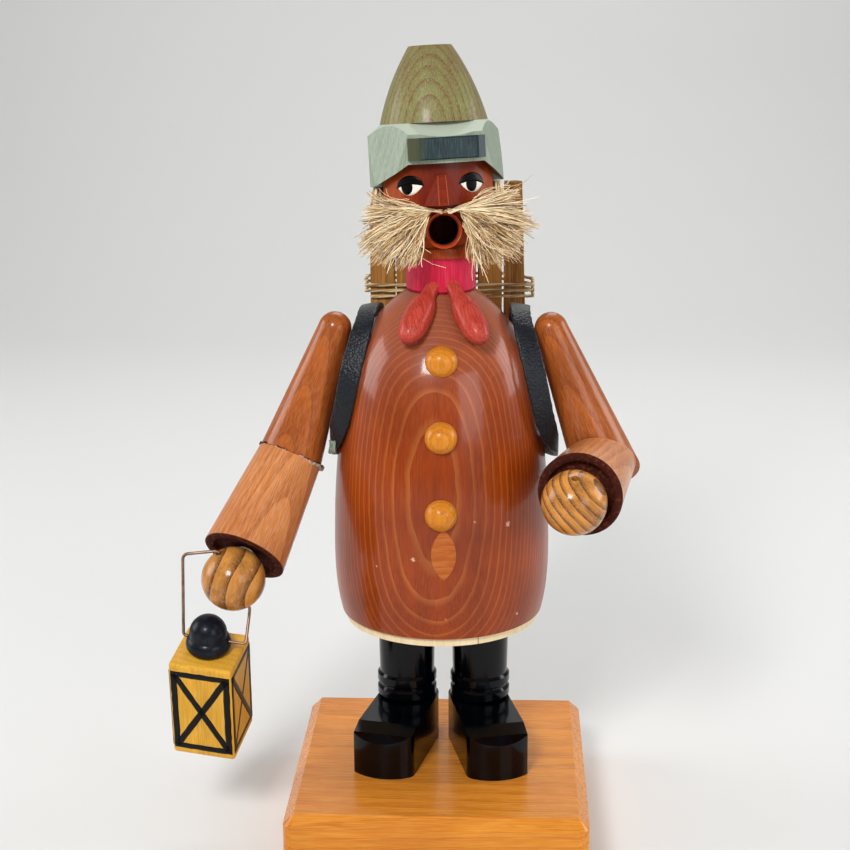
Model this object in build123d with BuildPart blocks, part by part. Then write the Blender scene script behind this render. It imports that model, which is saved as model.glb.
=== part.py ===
"""Turned wooden incense smoker: a peddler with a lantern and a load of firewood.

All lengths are in millimetres. The origin is on the figure's lathe axis at the
underside of the plinth, +Z is up, the figure faces -Y and +X is to the
viewer's right. "Left" and "right" are the viewer's.
"""

import os
from math import cos, radians, sin, tan

from build123d import *

os.makedirs("parts", exist_ok=True)

# Fits
glue_gap = 0.05
loose_gap = 0.3
overrun = 2.0

# Plinth: a square pine board with a bevelled top edge
plinth_width = 118.0
plinth_depth = 118.0
plinth_height = 28.0
plinth_forward = 18.0
plinth_bevel = 4.2
plinth_corner_radius = 4.8

# Legs: turned shafts with two ankle beads and a tenon at each end
leg_half_spacing = 15.2
leg_shift = 0.6
leg_top_radius = 11.9
leg_shaft_radius = 11.3
leg_bead_radius = 12.3
leg_bead_height = 5.0
leg_groove_radius = 11.2
leg_groove_height = 0.8
leg_length = 36.5
leg_tenon_radius = 5.0
leg_plinth_tenon = 12.0
leg_disc_tenon = 9.0

# Boots: sawn blocks, rounded at the heel and bevelled down to the toe
boot_height = 19.5
boot_splay = 13.0
boot_inner_width = 13.2
boot_outer_width = 11.2
boot_heel_length = 12.2
boot_length = 43.1
boot_inner_side_length = 38.0
boot_outer_side_length = 39.1
boot_inner_corner_radius = 5.0
boot_instep_length = 31.8
boot_vamp_length = 38.6
boot_vamp_height = 17.4
boot_toe_height = 15.0

# Seat disc: carries the coat on a spigot, and the dish in a recess
disc_radius = 39.3
disc_thickness = 3.5
spigot_height = 8.0
air_hole_radius = 4.0
air_hole_offset = 21.0

# Incense dish with its tack, and the cone that stands in it
dish_radius = 13.0
dish_foot_radius = 8.5
dish_height = 5.5
dish_wall = 0.8
dish_recess_depth = 1.5
tack_head_radius = 2.6
tack_head_height = 0.7
tack_shank_radius = 0.8
tack_shank_length = 5.0
cone_radius = 5.5
cone_tip_radius = 0.7
cone_height = 24.0

# Coat: a hollow turning that forms the whole body
coat_radius = 43.7
coat_height = 131.8
coat_neck_radius = 13.5
chamber_radius = 30.0
chamber_height = 88.0
chamber_shoulder = 12.0
coat_side_shares = (
    (0.938, 0.0),
    (0.966, 0.042),
    (0.998, 0.16),
    (0.997, 0.27),
    (0.965, 0.466),
    (0.897, 0.656),
    (0.778, 0.816),
    (0.572, 0.922),
)

# Buttons down the front, and the pointed plug that fills a knot
button_radius = 6.25
button_sink_share = 0.12
button_shift = 1.3
button_height_shares = (0.832, 0.618, 0.391)
patch_width = 9.7
patch_length = 20.4
patch_depth = 4.0
patch_shift = 2.3
patch_height_share = 0.271

# Neck: a hollow dowel, the collar ring and two scarf ends
neck_tube_radius = 4.9
neck_tube_bore = 3.4
neck_tube_reach = 6.0
collar_radius = 13.7
collar_bore = 11.6
collar_height = 14.4
collar_bevel = 1.2
scarf_radius = 5.5
scarf_root_spread_left = 3.6
scarf_root_spread_right = 6.2
scarf_root_forward = 14.2
scarf_root_drop = 13.2
scarf_tip_spread_left = 12.2
scarf_tip_spread_right = 17.0
scarf_tip_forward = 34.3
scarf_tip_drop = 28.6
scarf_profile_shares = ((0.52, 0.0), (0.84, 0.24), (1.0, 0.56), (0.83, 0.83), (0.48, 0.96))

# Head: turned, set a little askew on the collar
head_lean = 3.0
head_pitch = 5.0
face_yaw = 7.0
head_radius = 22.0
head_height = 41.0
head_bead_radius = 15.4
head_bead_height = 2.2
head_groove_radius = 14.2
head_groove_height = 0.8
head_chin_height = 15.0
neck_stub_radius = 9.8
head_duct_radius = 6.6
mouth_height = 10.0
mouth_radius = 5.8
lip_radius = 7.7
lip_depth = 2.2
nose_bottom = 19.4
nose_top = 31.0
nose_width = 14.0
nose_ridge_width = 3.8
nose_brow_width = 5.2
nose_reach = 5.2
nose_brow_reach = 0.5
nose_bite = 5.0

# Hat: a turned brim cut by two flats, a peak stub, and the crown
hat_yaw = 13.0
brim_radius = 26.0
brim_bottom = 27.0
brim_top = 50.6
brim_bevel_width = 5.0
brim_bevel_height = 4.2
brim_flat_start = 16.6
brim_flat_drop = 5.4
brim_notch_start = 2.6
brim_notch_rise = 8.3
brim_side_flat_turn = 26.0
brim_side_flat_reach = 21.6
brim_side_flat_lean = 10.2
peak_bottom = 36.7
peak_top = 45.0
peak_width = 29.4
peak_front = 28.0
peak_end_bevel = 3.6
peak_edge_bevel = 0.5
crown_radius = 21.0
crown_top_radius = 8.4
crown_height = 29.0
crown_middle_radius = 16.8
crown_middle_height = 12.9
hat_dowel_radius = 4.0
hat_dowel_reach = 8.0

# Moustache tufts: fans of straw glued on beside the nose
straw_width = 0.5
tuft_yaw = 22.0
tuft_root_back = 6.2
tuft_root_height = 17.8
tuft_root_top_reach = 4.2
tuft_root_bottom_reach = 9.4
tuft_pad_half_width = 1.7
tuft_layers = 10
tuft_layer_pitch = 0.72
tuft_strands = 12
tuft_top_angle = 10.0
tuft_bottom_angle = -54.0
tuft_length = 31.5
tuft_flare = 11.0
tuft_length_shares = (0.76, 0.86, 0.95, 1.0, 0.99, 0.92, 0.74)

# Hair: a fringe of straw under the brim, from the temples round the back
hair_start = 78.0
hair_end = 172.0
hair_strands = 32
hair_layers = 2
hair_layer_pitch = 0.95
hair_band_height = 2.6
hair_length = 14.5
hair_flare = 8.0
hair_length_shares = (1.0, 0.86, 0.95, 0.8, 0.92)

# Arms: tapered turnings, mitred at the elbow, with a hollowed cuff
arm_top_radius = 6.6
elbow_radius = 12.9
cuff_radius = 16.6
cuff_bore = 13.4
shoulder_reach_left = 41.9
shoulder_reach_right = 43.6
shoulder_height_share = 0.884
shoulder_forward = 3.0
elbow_reach_left = 60.6
elbow_reach_right = 65.0
elbow_drop_left = 52.2
elbow_drop_right = 53.9
elbow_forward = 4.2
cuff_reach_left = 76.1
cuff_drop_left = 32.1
cuff_forward_left = 36.0
cuff_reach_right = 54.3
cuff_drop_right = 1.9
cuff_forward_right = 43.0
hand_radius = 12.5
hand_reach_left = 10.4
hand_reach_right = 9.6
hand_hole_radius = 1.5
hand_hole_tilt_left = 23.2
hand_hole_lean_left = 11.1
hand_hole_lean_right = 26.0
shoulder_dowel_radius = 2.5
shoulder_dowel_drop = 14.0
shoulder_dowel_inner = 29.0
elbow_dowel_radius = 3.0
elbow_dowel_reach = 8.0
wrist_dowel_radius = 3.0
wrist_dowel_hand_depth = 6.2
wrist_dowel_arm_depth = 10.0

# Straps: leather bands over the shoulders and back under the arms
strap_width = 8.6
strap_thickness = 1.3
strap_shift_right = 2.5
strap_end_length = 8.0
strap_tail_length = 12.0
strap_tack_radius = 1.8
strap_tack_height = 0.8
strap_tack_shank_radius = 0.6
strap_tack_shank_length = 5.0
# Each station: outward and forward of the axis as shares of the coat's
# radius, height as a share of the coat's, then the azimuth and elevation of
# the band's outer face in degrees
strap_route_shares = (
    (0.660, -0.876, 0.858, 180.0, 49.0),
    (0.660, -0.640, 0.905, 170.0, 66.0),
    (0.660, -0.320, 0.928, 130.0, 76.0),
    (0.660, -0.023, 0.936, 75.0, 72.0),
    (0.680, 0.183, 0.915, 35.0, 50.0),
    (0.716, 0.320, 0.872, 18.0, 26.0),
    (0.786, 0.440, 0.785, 16.0, 12.0),
    (0.840, 0.456, 0.702, 22.0, 5.0),
    (0.889, 0.420, 0.630, 30.0, 2.0),
    (0.950, 0.330, 0.572, 46.0, 0.0),
    (1.004, 0.090, 0.528, 82.0, 0.0),
    (0.985, -0.220, 0.494, 103.0, 0.0),
    (0.838, -0.558, 0.477, 124.0, 0.0),
    (0.783, -0.700, 0.474, 132.0, 0.0),
    (0.700, -0.860, 0.473, 150.0, 0.0),
)

# Firewood: two rows of split sticks behind the coat, tied with twine
stick_width = 11.0
stick_depth = 9.6
stick_bottom_share = 0.3983
stick_length_share = 0.8042
stick_gap = 0.3
bundle_gap = 0.3
bundle_shift = 2.0
# Each stick: its length, the width of its top, and its top's sideways lean
front_stick_shares = (
    (0.93, 0.90, 0.03),
    (0.98, 0.86, -0.03),
    (0.90, 0.92, 0.02),
    (0.99, 0.88, -0.02),
    (0.94, 0.84, 0.03),
    (1.09, 0.68, -0.16),
)
rear_stick_shares = (
    (0.95, 0.88, 0.03),
    (1.02, 0.84, -0.03),
    (0.92, 0.90, 0.02),
    (0.98, 0.86, -0.02),
)
# A split stick's outline, as shares of its half width and half depth
stick_outline_shares = ((-1.0, -1.0), (1.0, -1.0), (1.0, 0.45), (0.35, 1.0), (-1.0, 0.75))
twine_radius = 0.75
twine_turns = 3
twine_pitch = 2.4
twine_corner_radius = 1.4
twine_height_shares = (0.30, 0.64)

# Lantern: a painted block with a knob, hung askew from a bent wire. It and
# the wire's corner are placed from the left hand's centre
lantern_width = 25.5
lantern_height = 44.1
lantern_edge_round = 1.4
lantern_outward = 10.5
lantern_ahead = 0.9
lantern_drop = 29.0
lantern_yaw = -9.76
lantern_pitch = 14.47
lantern_roll = 4.45
knob_radius = 8.95
knob_foot_radius = 7.25
knob_belt_height = 3.25
knob_shoulder_height = 6.6
knob_dome_radius = 7.4
knob_dome_centre = 8.0
knob_hole_height = 5.0
knob_peg_radius = 2.0
knob_peg_reach = 7.0
wire_radius = 0.6
wire_gap = 0.08
wire_hook_depth = 5.5
wire_left_stand = 1.3
wire_right_stand = 6.2
wire_corner_outward = 18.9
wire_corner_ahead = 2.9
wire_corner_rise = 10.9
wire_hole_lead = 1.0
wire_exit_lead = 2.1
wire_bend_radius = 2.4
wire_hole_bend_radius = 1.6
wire_hook_radius = 1.3

# Heights and places that follow from the sizes above
boot_top = plinth_height + boot_height
leg_top = boot_top + leg_length
disc_top = leg_top + disc_thickness
coat_bottom = disc_top
coat_top = coat_bottom + coat_height
collar_top = coat_top + collar_height
spigot_radius = chamber_radius - loose_gap
spigot_top = disc_top + spigot_height
shoulder_height = coat_bottom + shoulder_height_share * coat_height
shoulder_dowel_height = shoulder_height - shoulder_dowel_drop
stick_bottom = coat_bottom + stick_bottom_share * coat_height
stick_length = stick_length_share * coat_height


def share_at(shares, place):
    """Read a list of shares between its entries, place running from 0 to 1."""
    step = min(int(place * (len(shares) - 1)), len(shares) - 2)
    part = place * (len(shares) - 1) - step
    return shares[step] * (1 - part) + shares[step + 1] * part


def section_of(frame):
    """The plane of a turning's outline: X is its radius, Y runs along its axis."""
    return Plane(frame.origin, x_dir=frame.x_dir, z_dir=-frame.y_dir)


def turn(outline, frame=Plane.XY, mode=Mode.ADD):
    """Turn a closed outline of (radius, height) points about the frame's Z."""
    with BuildSketch(section_of(frame)) as profile:
        with BuildLine():
            Polyline(*outline, close=True)
        make_face()
    revolve(profile.sketch, axis=Axis(frame.origin, frame.z_dir), mode=mode)


def rod(start, end, radius, mode=Mode.ADD):
    """A round bar, or with Mode.SUBTRACT a bore, between two points."""
    axis = end - start
    with BuildSketch(Plane(start, z_dir=axis)) as round_section:
        Circle(radius)
    extrude(round_section.sketch, amount=axis.length, mode=mode)


def finish(builder, label):
    """Name the finished piece and write it out."""
    builder.part.label = label
    export_step(builder.part, f"parts/{label}.step")


# The coat's side curve, and its radius at any height
coat_side_points = [
    (radius_share * coat_radius, coat_bottom + height_share * coat_height)
    for radius_share, height_share in coat_side_shares
] + [(coat_neck_radius, coat_top)]
coat_side = Spline(*coat_side_points)


def coat_radius_at(height):
    """The coat's outer radius at a height, found on its side curve."""
    low = 0.0
    high = 1.0
    for _ in range(40):
        middle = (low + high) / 2
        if coat_side.position_at(middle).Y < height:
            low = middle
        else:
            high = middle
    return coat_side.position_at(low).X


def coat_envelope(gap=0.0, mode=Mode.ADD):
    """The coat's outer form as a solid, grown by a gap."""
    with BuildSketch(section_of(Plane.XY)) as profile:
        with BuildLine():
            Spline(*[(radius + gap, height) for radius, height in coat_side_points])
            Polyline(
                (coat_neck_radius + gap, coat_top),
                (0, coat_top),
                (0, coat_bottom),
                (coat_side_points[0][0] + gap, coat_bottom),
            )
        make_face()
    revolve(profile.sketch, axis=Axis.Z, mode=mode)


def trim_to_coat():
    """Cut away what stands out past the coat's side."""
    outer = coat_radius + patch_depth
    with BuildSketch(section_of(Plane.XY)) as profile:
        with BuildLine():
            Spline(*coat_side_points)
            Polyline(
                (coat_neck_radius, coat_top), (outer, coat_top), (outer, coat_bottom),
                coat_side_points[0],
            )
        make_face()
    revolve(profile.sketch, axis=Axis.Z, mode=Mode.SUBTRACT)


# Plinth
leg_places = {
    "left": Vector(leg_shift - leg_half_spacing, 0, 0),
    "right": Vector(leg_shift + leg_half_spacing, 0, 0),
}
with BuildPart() as plinth:
    with BuildSketch():
        with Locations((0, -plinth_forward)):
            RectangleRounded(plinth_width, plinth_depth, plinth_corner_radius)
    extrude(amount=plinth_height)
    chamfer(plinth.faces().sort_by(Axis.Z)[-1].edges(), length=plinth_bevel)
    for place in leg_places.values():
        rod(
            place + Vector(0, 0, plinth_height - leg_plinth_tenon - glue_gap),
            place + Vector(0, 0, plinth_height + overrun),
            leg_tenon_radius + glue_gap,
            mode=Mode.SUBTRACT,
        )
finish(plinth, "plinth")


# Legs and boots
def leg(place, label):
    """A turned leg: tenon, two ankle beads, shaft and tenon."""
    bead_one = boot_top + leg_bead_height
    groove_top = bead_one + leg_groove_height
    bead_two = groove_top + leg_bead_height
    bead_round = leg_bead_radius - leg_groove_radius
    with BuildPart() as turned_leg:
        turn(
            [
                (0, plinth_height - leg_plinth_tenon),
                (leg_tenon_radius, plinth_height - leg_plinth_tenon),
                (leg_tenon_radius, boot_top),
                (leg_groove_radius, boot_top),
                (leg_bead_radius, boot_top + bead_round),
                (leg_bead_radius, bead_one - bead_round),
                (leg_groove_radius, bead_one),
                (leg_groove_radius, groove_top),
                (leg_bead_radius, groove_top + bead_round),
                (leg_bead_radius, bead_two - bead_round),
                (leg_shaft_radius, bead_two),
                (leg_top_radius, leg_top),
                (leg_tenon_radius, leg_top),
                (leg_tenon_radius, leg_top + leg_disc_tenon),
                (0, leg_top + leg_disc_tenon),
            ],
            Plane(place),
        )
    finish(turned_leg, label)


def boot(place, side, label):
    """A boot: side is -1 for the left one and 1 for the right one."""
    forward = Vector(side * sin(radians(boot_splay)), -cos(radians(boot_splay)), 0)
    sole = Plane(place + Vector(0, 0, plinth_height), x_dir=forward, z_dir=(0, 0, 1))
    inner = -side * boot_inner_width
    outer = side * boot_outer_width
    middle = (inner + outer) / 2
    with BuildPart() as shaped_boot:
        with BuildSketch(sole) as outline:
            with BuildLine():
                Line((0, inner), (boot_inner_side_length, inner))
                ThreePointArc(
                    (boot_inner_side_length, inner),
                    (boot_length, middle),
                    (boot_outer_side_length, outer),
                )
                Line((boot_outer_side_length, outer), (0, outer))
                ThreePointArc((0, outer), (-boot_heel_length, middle), (0, inner))
            make_face()
            toe_corner = outline.vertices().sort_by_distance((boot_inner_side_length, inner))[0]
            fillet(toe_corner, boot_inner_corner_radius)
        extrude(amount=boot_height)
        side_view = Plane(sole.origin, x_dir=forward, z_dir=forward.cross(Vector(0, 0, 1)))
        with BuildSketch(side_view) as toe_cut:
            with BuildLine():
                Polyline(
                    (boot_instep_length, boot_height),
                    (boot_vamp_length, boot_vamp_height),
                    (boot_length, boot_toe_height),
                    (boot_length + overrun, boot_toe_height),
                    (boot_length + overrun, boot_height + overrun),
                    (boot_instep_length, boot_height + overrun),
                    close=True,
                )
            make_face()
        extrude(toe_cut.sketch, amount=2 * boot_inner_width, both=True, mode=Mode.SUBTRACT)
        rod(
            place + Vector(0, 0, plinth_height - overrun),
            place + Vector(0, 0, boot_top + overrun),
            leg_tenon_radius + glue_gap,
            mode=Mode.SUBTRACT,
        )
    finish(shaped_boot, label)


for leg_side, leg_name in ((-1, "left"), (1, "right")):
    leg(leg_places[leg_name], f"leg_{leg_name}")
    boot(leg_places[leg_name], leg_side, f"boot_{leg_name}")

# Seat disc with its spigot, dish recess, leg sockets and air hole
recess_floor = spigot_top - dish_recess_depth
dish_slope = (dish_radius - dish_foot_radius) / dish_height
recess_radius = dish_foot_radius + dish_slope * dish_recess_depth + loose_gap
with BuildPart() as seat_disc:
    turn(
        [
            (0, leg_top),
            (disc_radius, leg_top),
            (disc_radius, disc_top),
            (spigot_radius, disc_top),
            (spigot_radius, spigot_top),
            (recess_radius, spigot_top),
            (recess_radius, recess_floor),
            (0, recess_floor),
        ]
    )
    for place in leg_places.values():
        rod(
            place + Vector(0, 0, leg_top - overrun),
            place + Vector(0, 0, leg_top + leg_disc_tenon + glue_gap),
            leg_tenon_radius + glue_gap,
            mode=Mode.SUBTRACT,
        )
    rod(
        Vector(0, air_hole_offset, leg_top - overrun),
        Vector(0, air_hole_offset, spigot_top + overrun),
        air_hole_radius,
        mode=Mode.SUBTRACT,
    )
    rod(
        Vector(0, 0, recess_floor - tack_shank_length),
        Vector(0, 0, recess_floor + overrun),
        tack_shank_radius + glue_gap,
        mode=Mode.SUBTRACT,
    )
finish(seat_disc, "seat_disc")

# Incense dish, its tack and the cone
dish_floor = recess_floor + dish_wall
with BuildPart() as incense_dish:
    turn(
        [
            (tack_shank_radius + glue_gap, recess_floor),
            (dish_foot_radius, recess_floor),
            (dish_radius, recess_floor + dish_height),
            (dish_radius - dish_wall, recess_floor + dish_height),
            (dish_foot_radius - dish_wall, dish_floor),
            (tack_shank_radius + glue_gap, dish_floor),
        ]
    )
finish(incense_dish, "incense_dish")

with BuildPart() as dish_tack:
    turn(
        [
            (0, recess_floor - tack_shank_length + glue_gap),
            (tack_shank_radius, recess_floor - tack_shank_length + glue_gap),
            (tack_shank_radius, dish_floor),
            (tack_head_radius, dish_floor),
            (tack_head_radius, dish_floor + tack_head_height),
            (0, dish_floor + tack_head_height),
        ]
    )
finish(dish_tack, "dish_tack")

cone_bottom = dish_floor + tack_head_height
with BuildPart() as incense_cone:
    turn(
        [
            (0, cone_bottom),
            (cone_radius, cone_bottom),
            (cone_tip_radius, cone_bottom + cone_height),
            (0, cone_bottom + cone_height),
        ]
    )
finish(incense_cone, "incense_cone")


# Coat with its smoke chamber, duct, knot pocket and shoulder sockets
def patch_prism(grow, mode=Mode.ADD):
    """The pointed oval plug, run from its floor out past the coat's front."""
    height = coat_bottom + patch_height_share * coat_height
    floor = coat_radius_at(height) - patch_depth - grow
    half_width = patch_width / 2 + grow
    half_length = patch_length / 2 + grow
    with BuildSketch(Plane.XZ.offset(floor)) as pointed_oval:
        with BuildLine():
            ThreePointArc(
                (patch_shift, height - half_length),
                (patch_shift + half_width, height),
                (patch_shift, height + half_length),
            )
            ThreePointArc(
                (patch_shift, height + half_length),
                (patch_shift - half_width, height),
                (patch_shift, height - half_length),
            )
        make_face()
    extrude(pointed_oval.sketch, amount=patch_depth + overrun, mode=mode)


duct_radius = neck_tube_radius + glue_gap
chamber_top = coat_bottom + chamber_height
shoulder_dowel_ends = {
    "left": (
        Vector(-shoulder_dowel_inner, -shoulder_forward, shoulder_dowel_height),
        Vector(-shoulder_reach_left - overrun, -shoulder_forward, shoulder_dowel_height),
    ),
    "right": (
        Vector(shoulder_dowel_inner, -shoulder_forward, shoulder_dowel_height),
        Vector(shoulder_reach_right + overrun, -shoulder_forward, shoulder_dowel_height),
    ),
}
with BuildPart() as coat:
    coat_envelope()
    turn(
        [
            (0, coat_bottom - overrun),
            (chamber_radius, coat_bottom - overrun),
            (chamber_radius, chamber_top),
            (duct_radius, chamber_top + chamber_shoulder),
            (duct_radius, coat_top + overrun),
            (0, coat_top + overrun),
        ],
        mode=Mode.SUBTRACT,
    )
    patch_prism(glue_gap, mode=Mode.SUBTRACT)
    for dowel_start, dowel_end in shoulder_dowel_ends.values():
        rod(dowel_start, dowel_end, shoulder_dowel_radius + glue_gap, mode=Mode.SUBTRACT)
finish(coat, "coat")

with BuildPart() as knot_patch:
    patch_prism(0)
    trim_to_coat()
finish(knot_patch, "knot_patch")

for button_name, height_share in zip(("top", "middle", "bottom"), button_height_shares):
    button_height = coat_bottom + height_share * coat_height
    button_reach = coat_radius_at(button_height) - button_sink_share * button_radius
    button_forward = (button_reach**2 - button_shift**2) ** 0.5
    with BuildPart() as button:
        with Locations((button_shift, -button_forward, button_height)):
            Sphere(button_radius)
        coat_envelope(glue_gap, mode=Mode.SUBTRACT)
    finish(button, f"button_{button_name}")

# Neck tube, collar and scarf ends
with BuildPart() as neck_tube:
    turn(
        [
            (neck_tube_bore, coat_top - neck_tube_reach),
            (neck_tube_radius, coat_top - neck_tube_reach),
            (neck_tube_radius, coat_top + neck_tube_reach),
            (neck_tube_bore, coat_top + neck_tube_reach),
        ]
    )
finish(neck_tube, "neck_tube")

with BuildPart() as collar:
    turn(
        [
            (collar_bore, coat_top),
            (collar_radius - collar_bevel, coat_top),
            (collar_radius, coat_top + collar_bevel),
            (collar_radius, collar_top),
            (collar_bore, collar_top),
        ]
    )
finish(collar, "collar")


def scarf_end(side, root_spread, tip_spread, label):
    """A turned scarf end: its root is fitted to the collar's curve."""
    root = Vector(
        side * root_spread, -scarf_root_forward, collar_top - scarf_root_drop
    )
    tip = Vector(side * tip_spread, -scarf_tip_forward, collar_top - scarf_tip_drop)
    frame = Plane(root, z_dir=tip - root)
    length = (tip - root).length
    side_points = [
        (radius_share * scarf_radius, length_share * length)
        for radius_share, length_share in scarf_profile_shares
    ]
    root_radius = side_points[0][0]
    with BuildPart() as turned_end:
        with BuildSketch(section_of(frame)) as profile:
            with BuildLine():
                Spline(*side_points, (0, length), tangents=[(0, 1), (-1, 0)])
                Polyline(
                    (0, length), (0, -collar_radius / 2), (root_radius, -collar_radius / 2),
                    (root_radius, 0),
                )
            make_face()
        revolve(profile.sketch, axis=Axis(frame.origin, frame.z_dir))
        rod(
            Vector(0, 0, coat_top - overrun),
            Vector(0, 0, collar_top + overrun),
            collar_radius + glue_gap,
            mode=Mode.SUBTRACT,
        )
        coat_envelope(glue_gap, mode=Mode.SUBTRACT)
        split(
            bisect_by=Plane.YZ.offset(side * glue_gap),
            keep=Keep.TOP if side > 0 else Keep.BOTTOM,
        )
    finish(turned_end, label)


scarf_end(-1, scarf_root_spread_left, scarf_tip_spread_left, "scarf_end_left")
scarf_end(1, scarf_root_spread_right, scarf_tip_spread_right, "scarf_end_right")


# Head: everything on it is placed in planes that lean with it
def leaned(vector):
    """Lean a direction with the head."""
    return vector.rotate(Axis.Y, -head_lean).rotate(Axis.X, -head_pitch)


def head_plane(yaw):
    """The head's frame on top of the collar, its -Y facing along a yaw."""
    return Plane(
        (0, 0, collar_top),
        x_dir=leaned(Vector(1, 0, 0).rotate(Axis.Z, yaw)),
        z_dir=leaned(Vector(0, 0, 1)),
    )


def side_view_of(frame):
    """A frame's side view: X runs forward, Y runs up."""
    forward = -frame.y_dir
    return Plane(frame.origin, x_dir=forward, z_dir=forward.cross(frame.z_dir))


head_frame = head_plane(0)
face = head_plane(face_yaw)
with BuildPart() as neck_stub:
    turn(
        [
            (0, -2 * collar_height),
            (neck_stub_radius, -2 * collar_height),
            (neck_stub_radius, head_bead_height),
            (0, head_bead_height),
        ],
        head_frame,
    )
    split(bisect_by=Plane.XY.offset(coat_top), keep=Keep.TOP)

with BuildPart() as head:
    with BuildSketch(section_of(head_frame)) as head_profile:
        with BuildLine():
            chin_start = head_bead_height + head_groove_height
            Spline(
                (head_groove_radius, chin_start),
                (head_radius, head_chin_height),
                tangents=[(1.6, 1), (0, 1)],
            )
            Polyline(
                (head_radius, head_chin_height),
                (head_radius, head_height),
                (0, head_height),
                (0, -head_bead_height),
                (head_bead_radius, -head_bead_height),
                (head_bead_radius, head_bead_height),
                (head_groove_radius, head_bead_height),
                (head_groove_radius, chin_start),
            )
        make_face()
    revolve(head_profile.sketch, axis=Axis(head_frame.origin, head_frame.z_dir))
    split(bisect_by=Plane.XY.offset(collar_top + glue_gap), keep=Keep.TOP)
    add(neck_stub.part)
    rod(
        head_frame.from_local_coords((0, 0, -2 * collar_height)),
        head_frame.from_local_coords((0, 0, mouth_height + head_duct_radius)),
        head_duct_radius,
        mode=Mode.SUBTRACT,
    )
    mouth_floor = face.from_local_coords((0, 0, mouth_height))
    mouth_front = face.from_local_coords((0, -head_radius - overrun, mouth_height))
    rod(mouth_floor, mouth_front, mouth_radius, mode=Mode.SUBTRACT)
    lip_frame = Plane(
        face.from_local_coords((0, lip_depth - head_radius, mouth_height)),
        x_dir=face.x_dir,
        z_dir=-face.y_dir,
    )
    turn(
        [
            (0, -lip_depth / 2),
            (mouth_radius, -lip_depth / 2),
            (lip_radius, lip_depth),
            (lip_radius, lip_depth + overrun),
            (0, lip_depth + overrun),
        ],
        lip_frame,
        mode=Mode.SUBTRACT,
    )
    rod(
        head_frame.from_local_coords((0, 0, head_height - hat_dowel_reach - glue_gap)),
        head_frame.from_local_coords((0, 0, head_height + overrun)),
        hat_dowel_radius + glue_gap,
        mode=Mode.SUBTRACT,
    )
finish(head, "head")


def nose_section(height, width, reach):
    """The nose's outline at a height: wide at the face, a flat narrow ridge."""
    back = nose_bite - head_radius
    cheek = -head_radius + nose_brow_reach
    front = -head_radius - reach
    level = Plane(
        face.from_local_coords((0, 0, height)), x_dir=face.x_dir, z_dir=face.z_dir
    )
    with BuildSketch(level) as outline:
        with BuildLine():
            Polyline(
                (-width / 2, back),
                (width / 2, back),
                (width / 2, cheek),
                (nose_ridge_width / 2, front),
                (-nose_ridge_width / 2, front),
                (-width / 2, cheek),
                close=True,
            )
        make_face()
    return outline.sketch.face()


with BuildPart() as nose:
    loft(
        sections=[
            nose_section(nose_bottom, nose_width, nose_reach),
            nose_section(nose_top, nose_brow_width, nose_brow_reach),
        ],
        ruled=True,
    )
    rod(
        face.from_local_coords((0, 0, nose_bottom - overrun)),
        face.from_local_coords((0, 0, nose_top + overrun)),
        head_radius + glue_gap,
        mode=Mode.SUBTRACT,
    )
finish(nose, "nose")

# Hat: brim, peak stub, crown and the dowel that holds them on the head
hat_frame = head_plane(hat_yaw)
brim_bore = head_radius + glue_gap
flat_slope = brim_flat_drop / (brim_radius - brim_flat_start)
with BuildPart() as hat_brim:
    turn(
        [
            (brim_bore, brim_bottom),
            (brim_radius, brim_bottom),
            (brim_radius, brim_top - brim_bevel_height),
            (brim_radius - brim_bevel_width, brim_top),
            (hat_dowel_radius + glue_gap, brim_top),
            (hat_dowel_radius + glue_gap, head_height + glue_gap),
            (brim_bore, head_height + glue_gap),
        ],
        hat_frame,
    )
    reach = brim_radius + overrun
    with BuildSketch(side_view_of(hat_frame)) as upper_flat:
        with BuildLine():
            Polyline(
                (brim_flat_start, brim_top),
                (reach, brim_top - flat_slope * (reach - brim_flat_start)),
                (reach, brim_top + overrun),
                (brim_flat_start, brim_top + overrun),
                close=True,
            )
        make_face()
    extrude(upper_flat.sketch, amount=2 * brim_radius, both=True, mode=Mode.SUBTRACT)
    front_view = Plane(
        hat_frame.from_local_coords((0, -brim_notch_start, 0)),
        x_dir=hat_frame.x_dir,
        z_dir=-hat_frame.y_dir,
    )
    with BuildSketch(front_view) as notch:
        with BuildLine():
            Polyline(
                (-reach, brim_bottom - overrun),
                (-brim_radius, brim_bottom),
                (-peak_width / 2, brim_bottom + brim_notch_rise),
                (peak_width / 2, brim_bottom + brim_notch_rise),
                (brim_radius, brim_bottom),
                (reach, brim_bottom - overrun),
                close=True,
            )
        make_face()
    extrude(notch.sketch, amount=reach, mode=Mode.SUBTRACT)
    for side in (-1, 1):
        turned = Vector(side, 0, 0).rotate(Axis.Z, -side * brim_side_flat_turn)
        at_top = turned * brim_side_flat_reach + Vector(0, 0, brim_top)
        lean = radians(brim_side_flat_lean)
        outward = turned * cos(lean) + Vector(0, 0, sin(lean))
        side_flat = Plane(
            hat_frame.from_local_coords(at_top),
            z_dir=hat_frame.x_dir * outward.X
            + hat_frame.y_dir * outward.Y
            + hat_frame.z_dir * outward.Z,
        )
        with BuildSketch(side_flat) as flat_outline:
            Rectangle(4 * brim_radius, 4 * brim_radius)
        extrude(flat_outline.sketch, amount=brim_radius, mode=Mode.SUBTRACT)
finish(hat_brim, "hat_brim")

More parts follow.
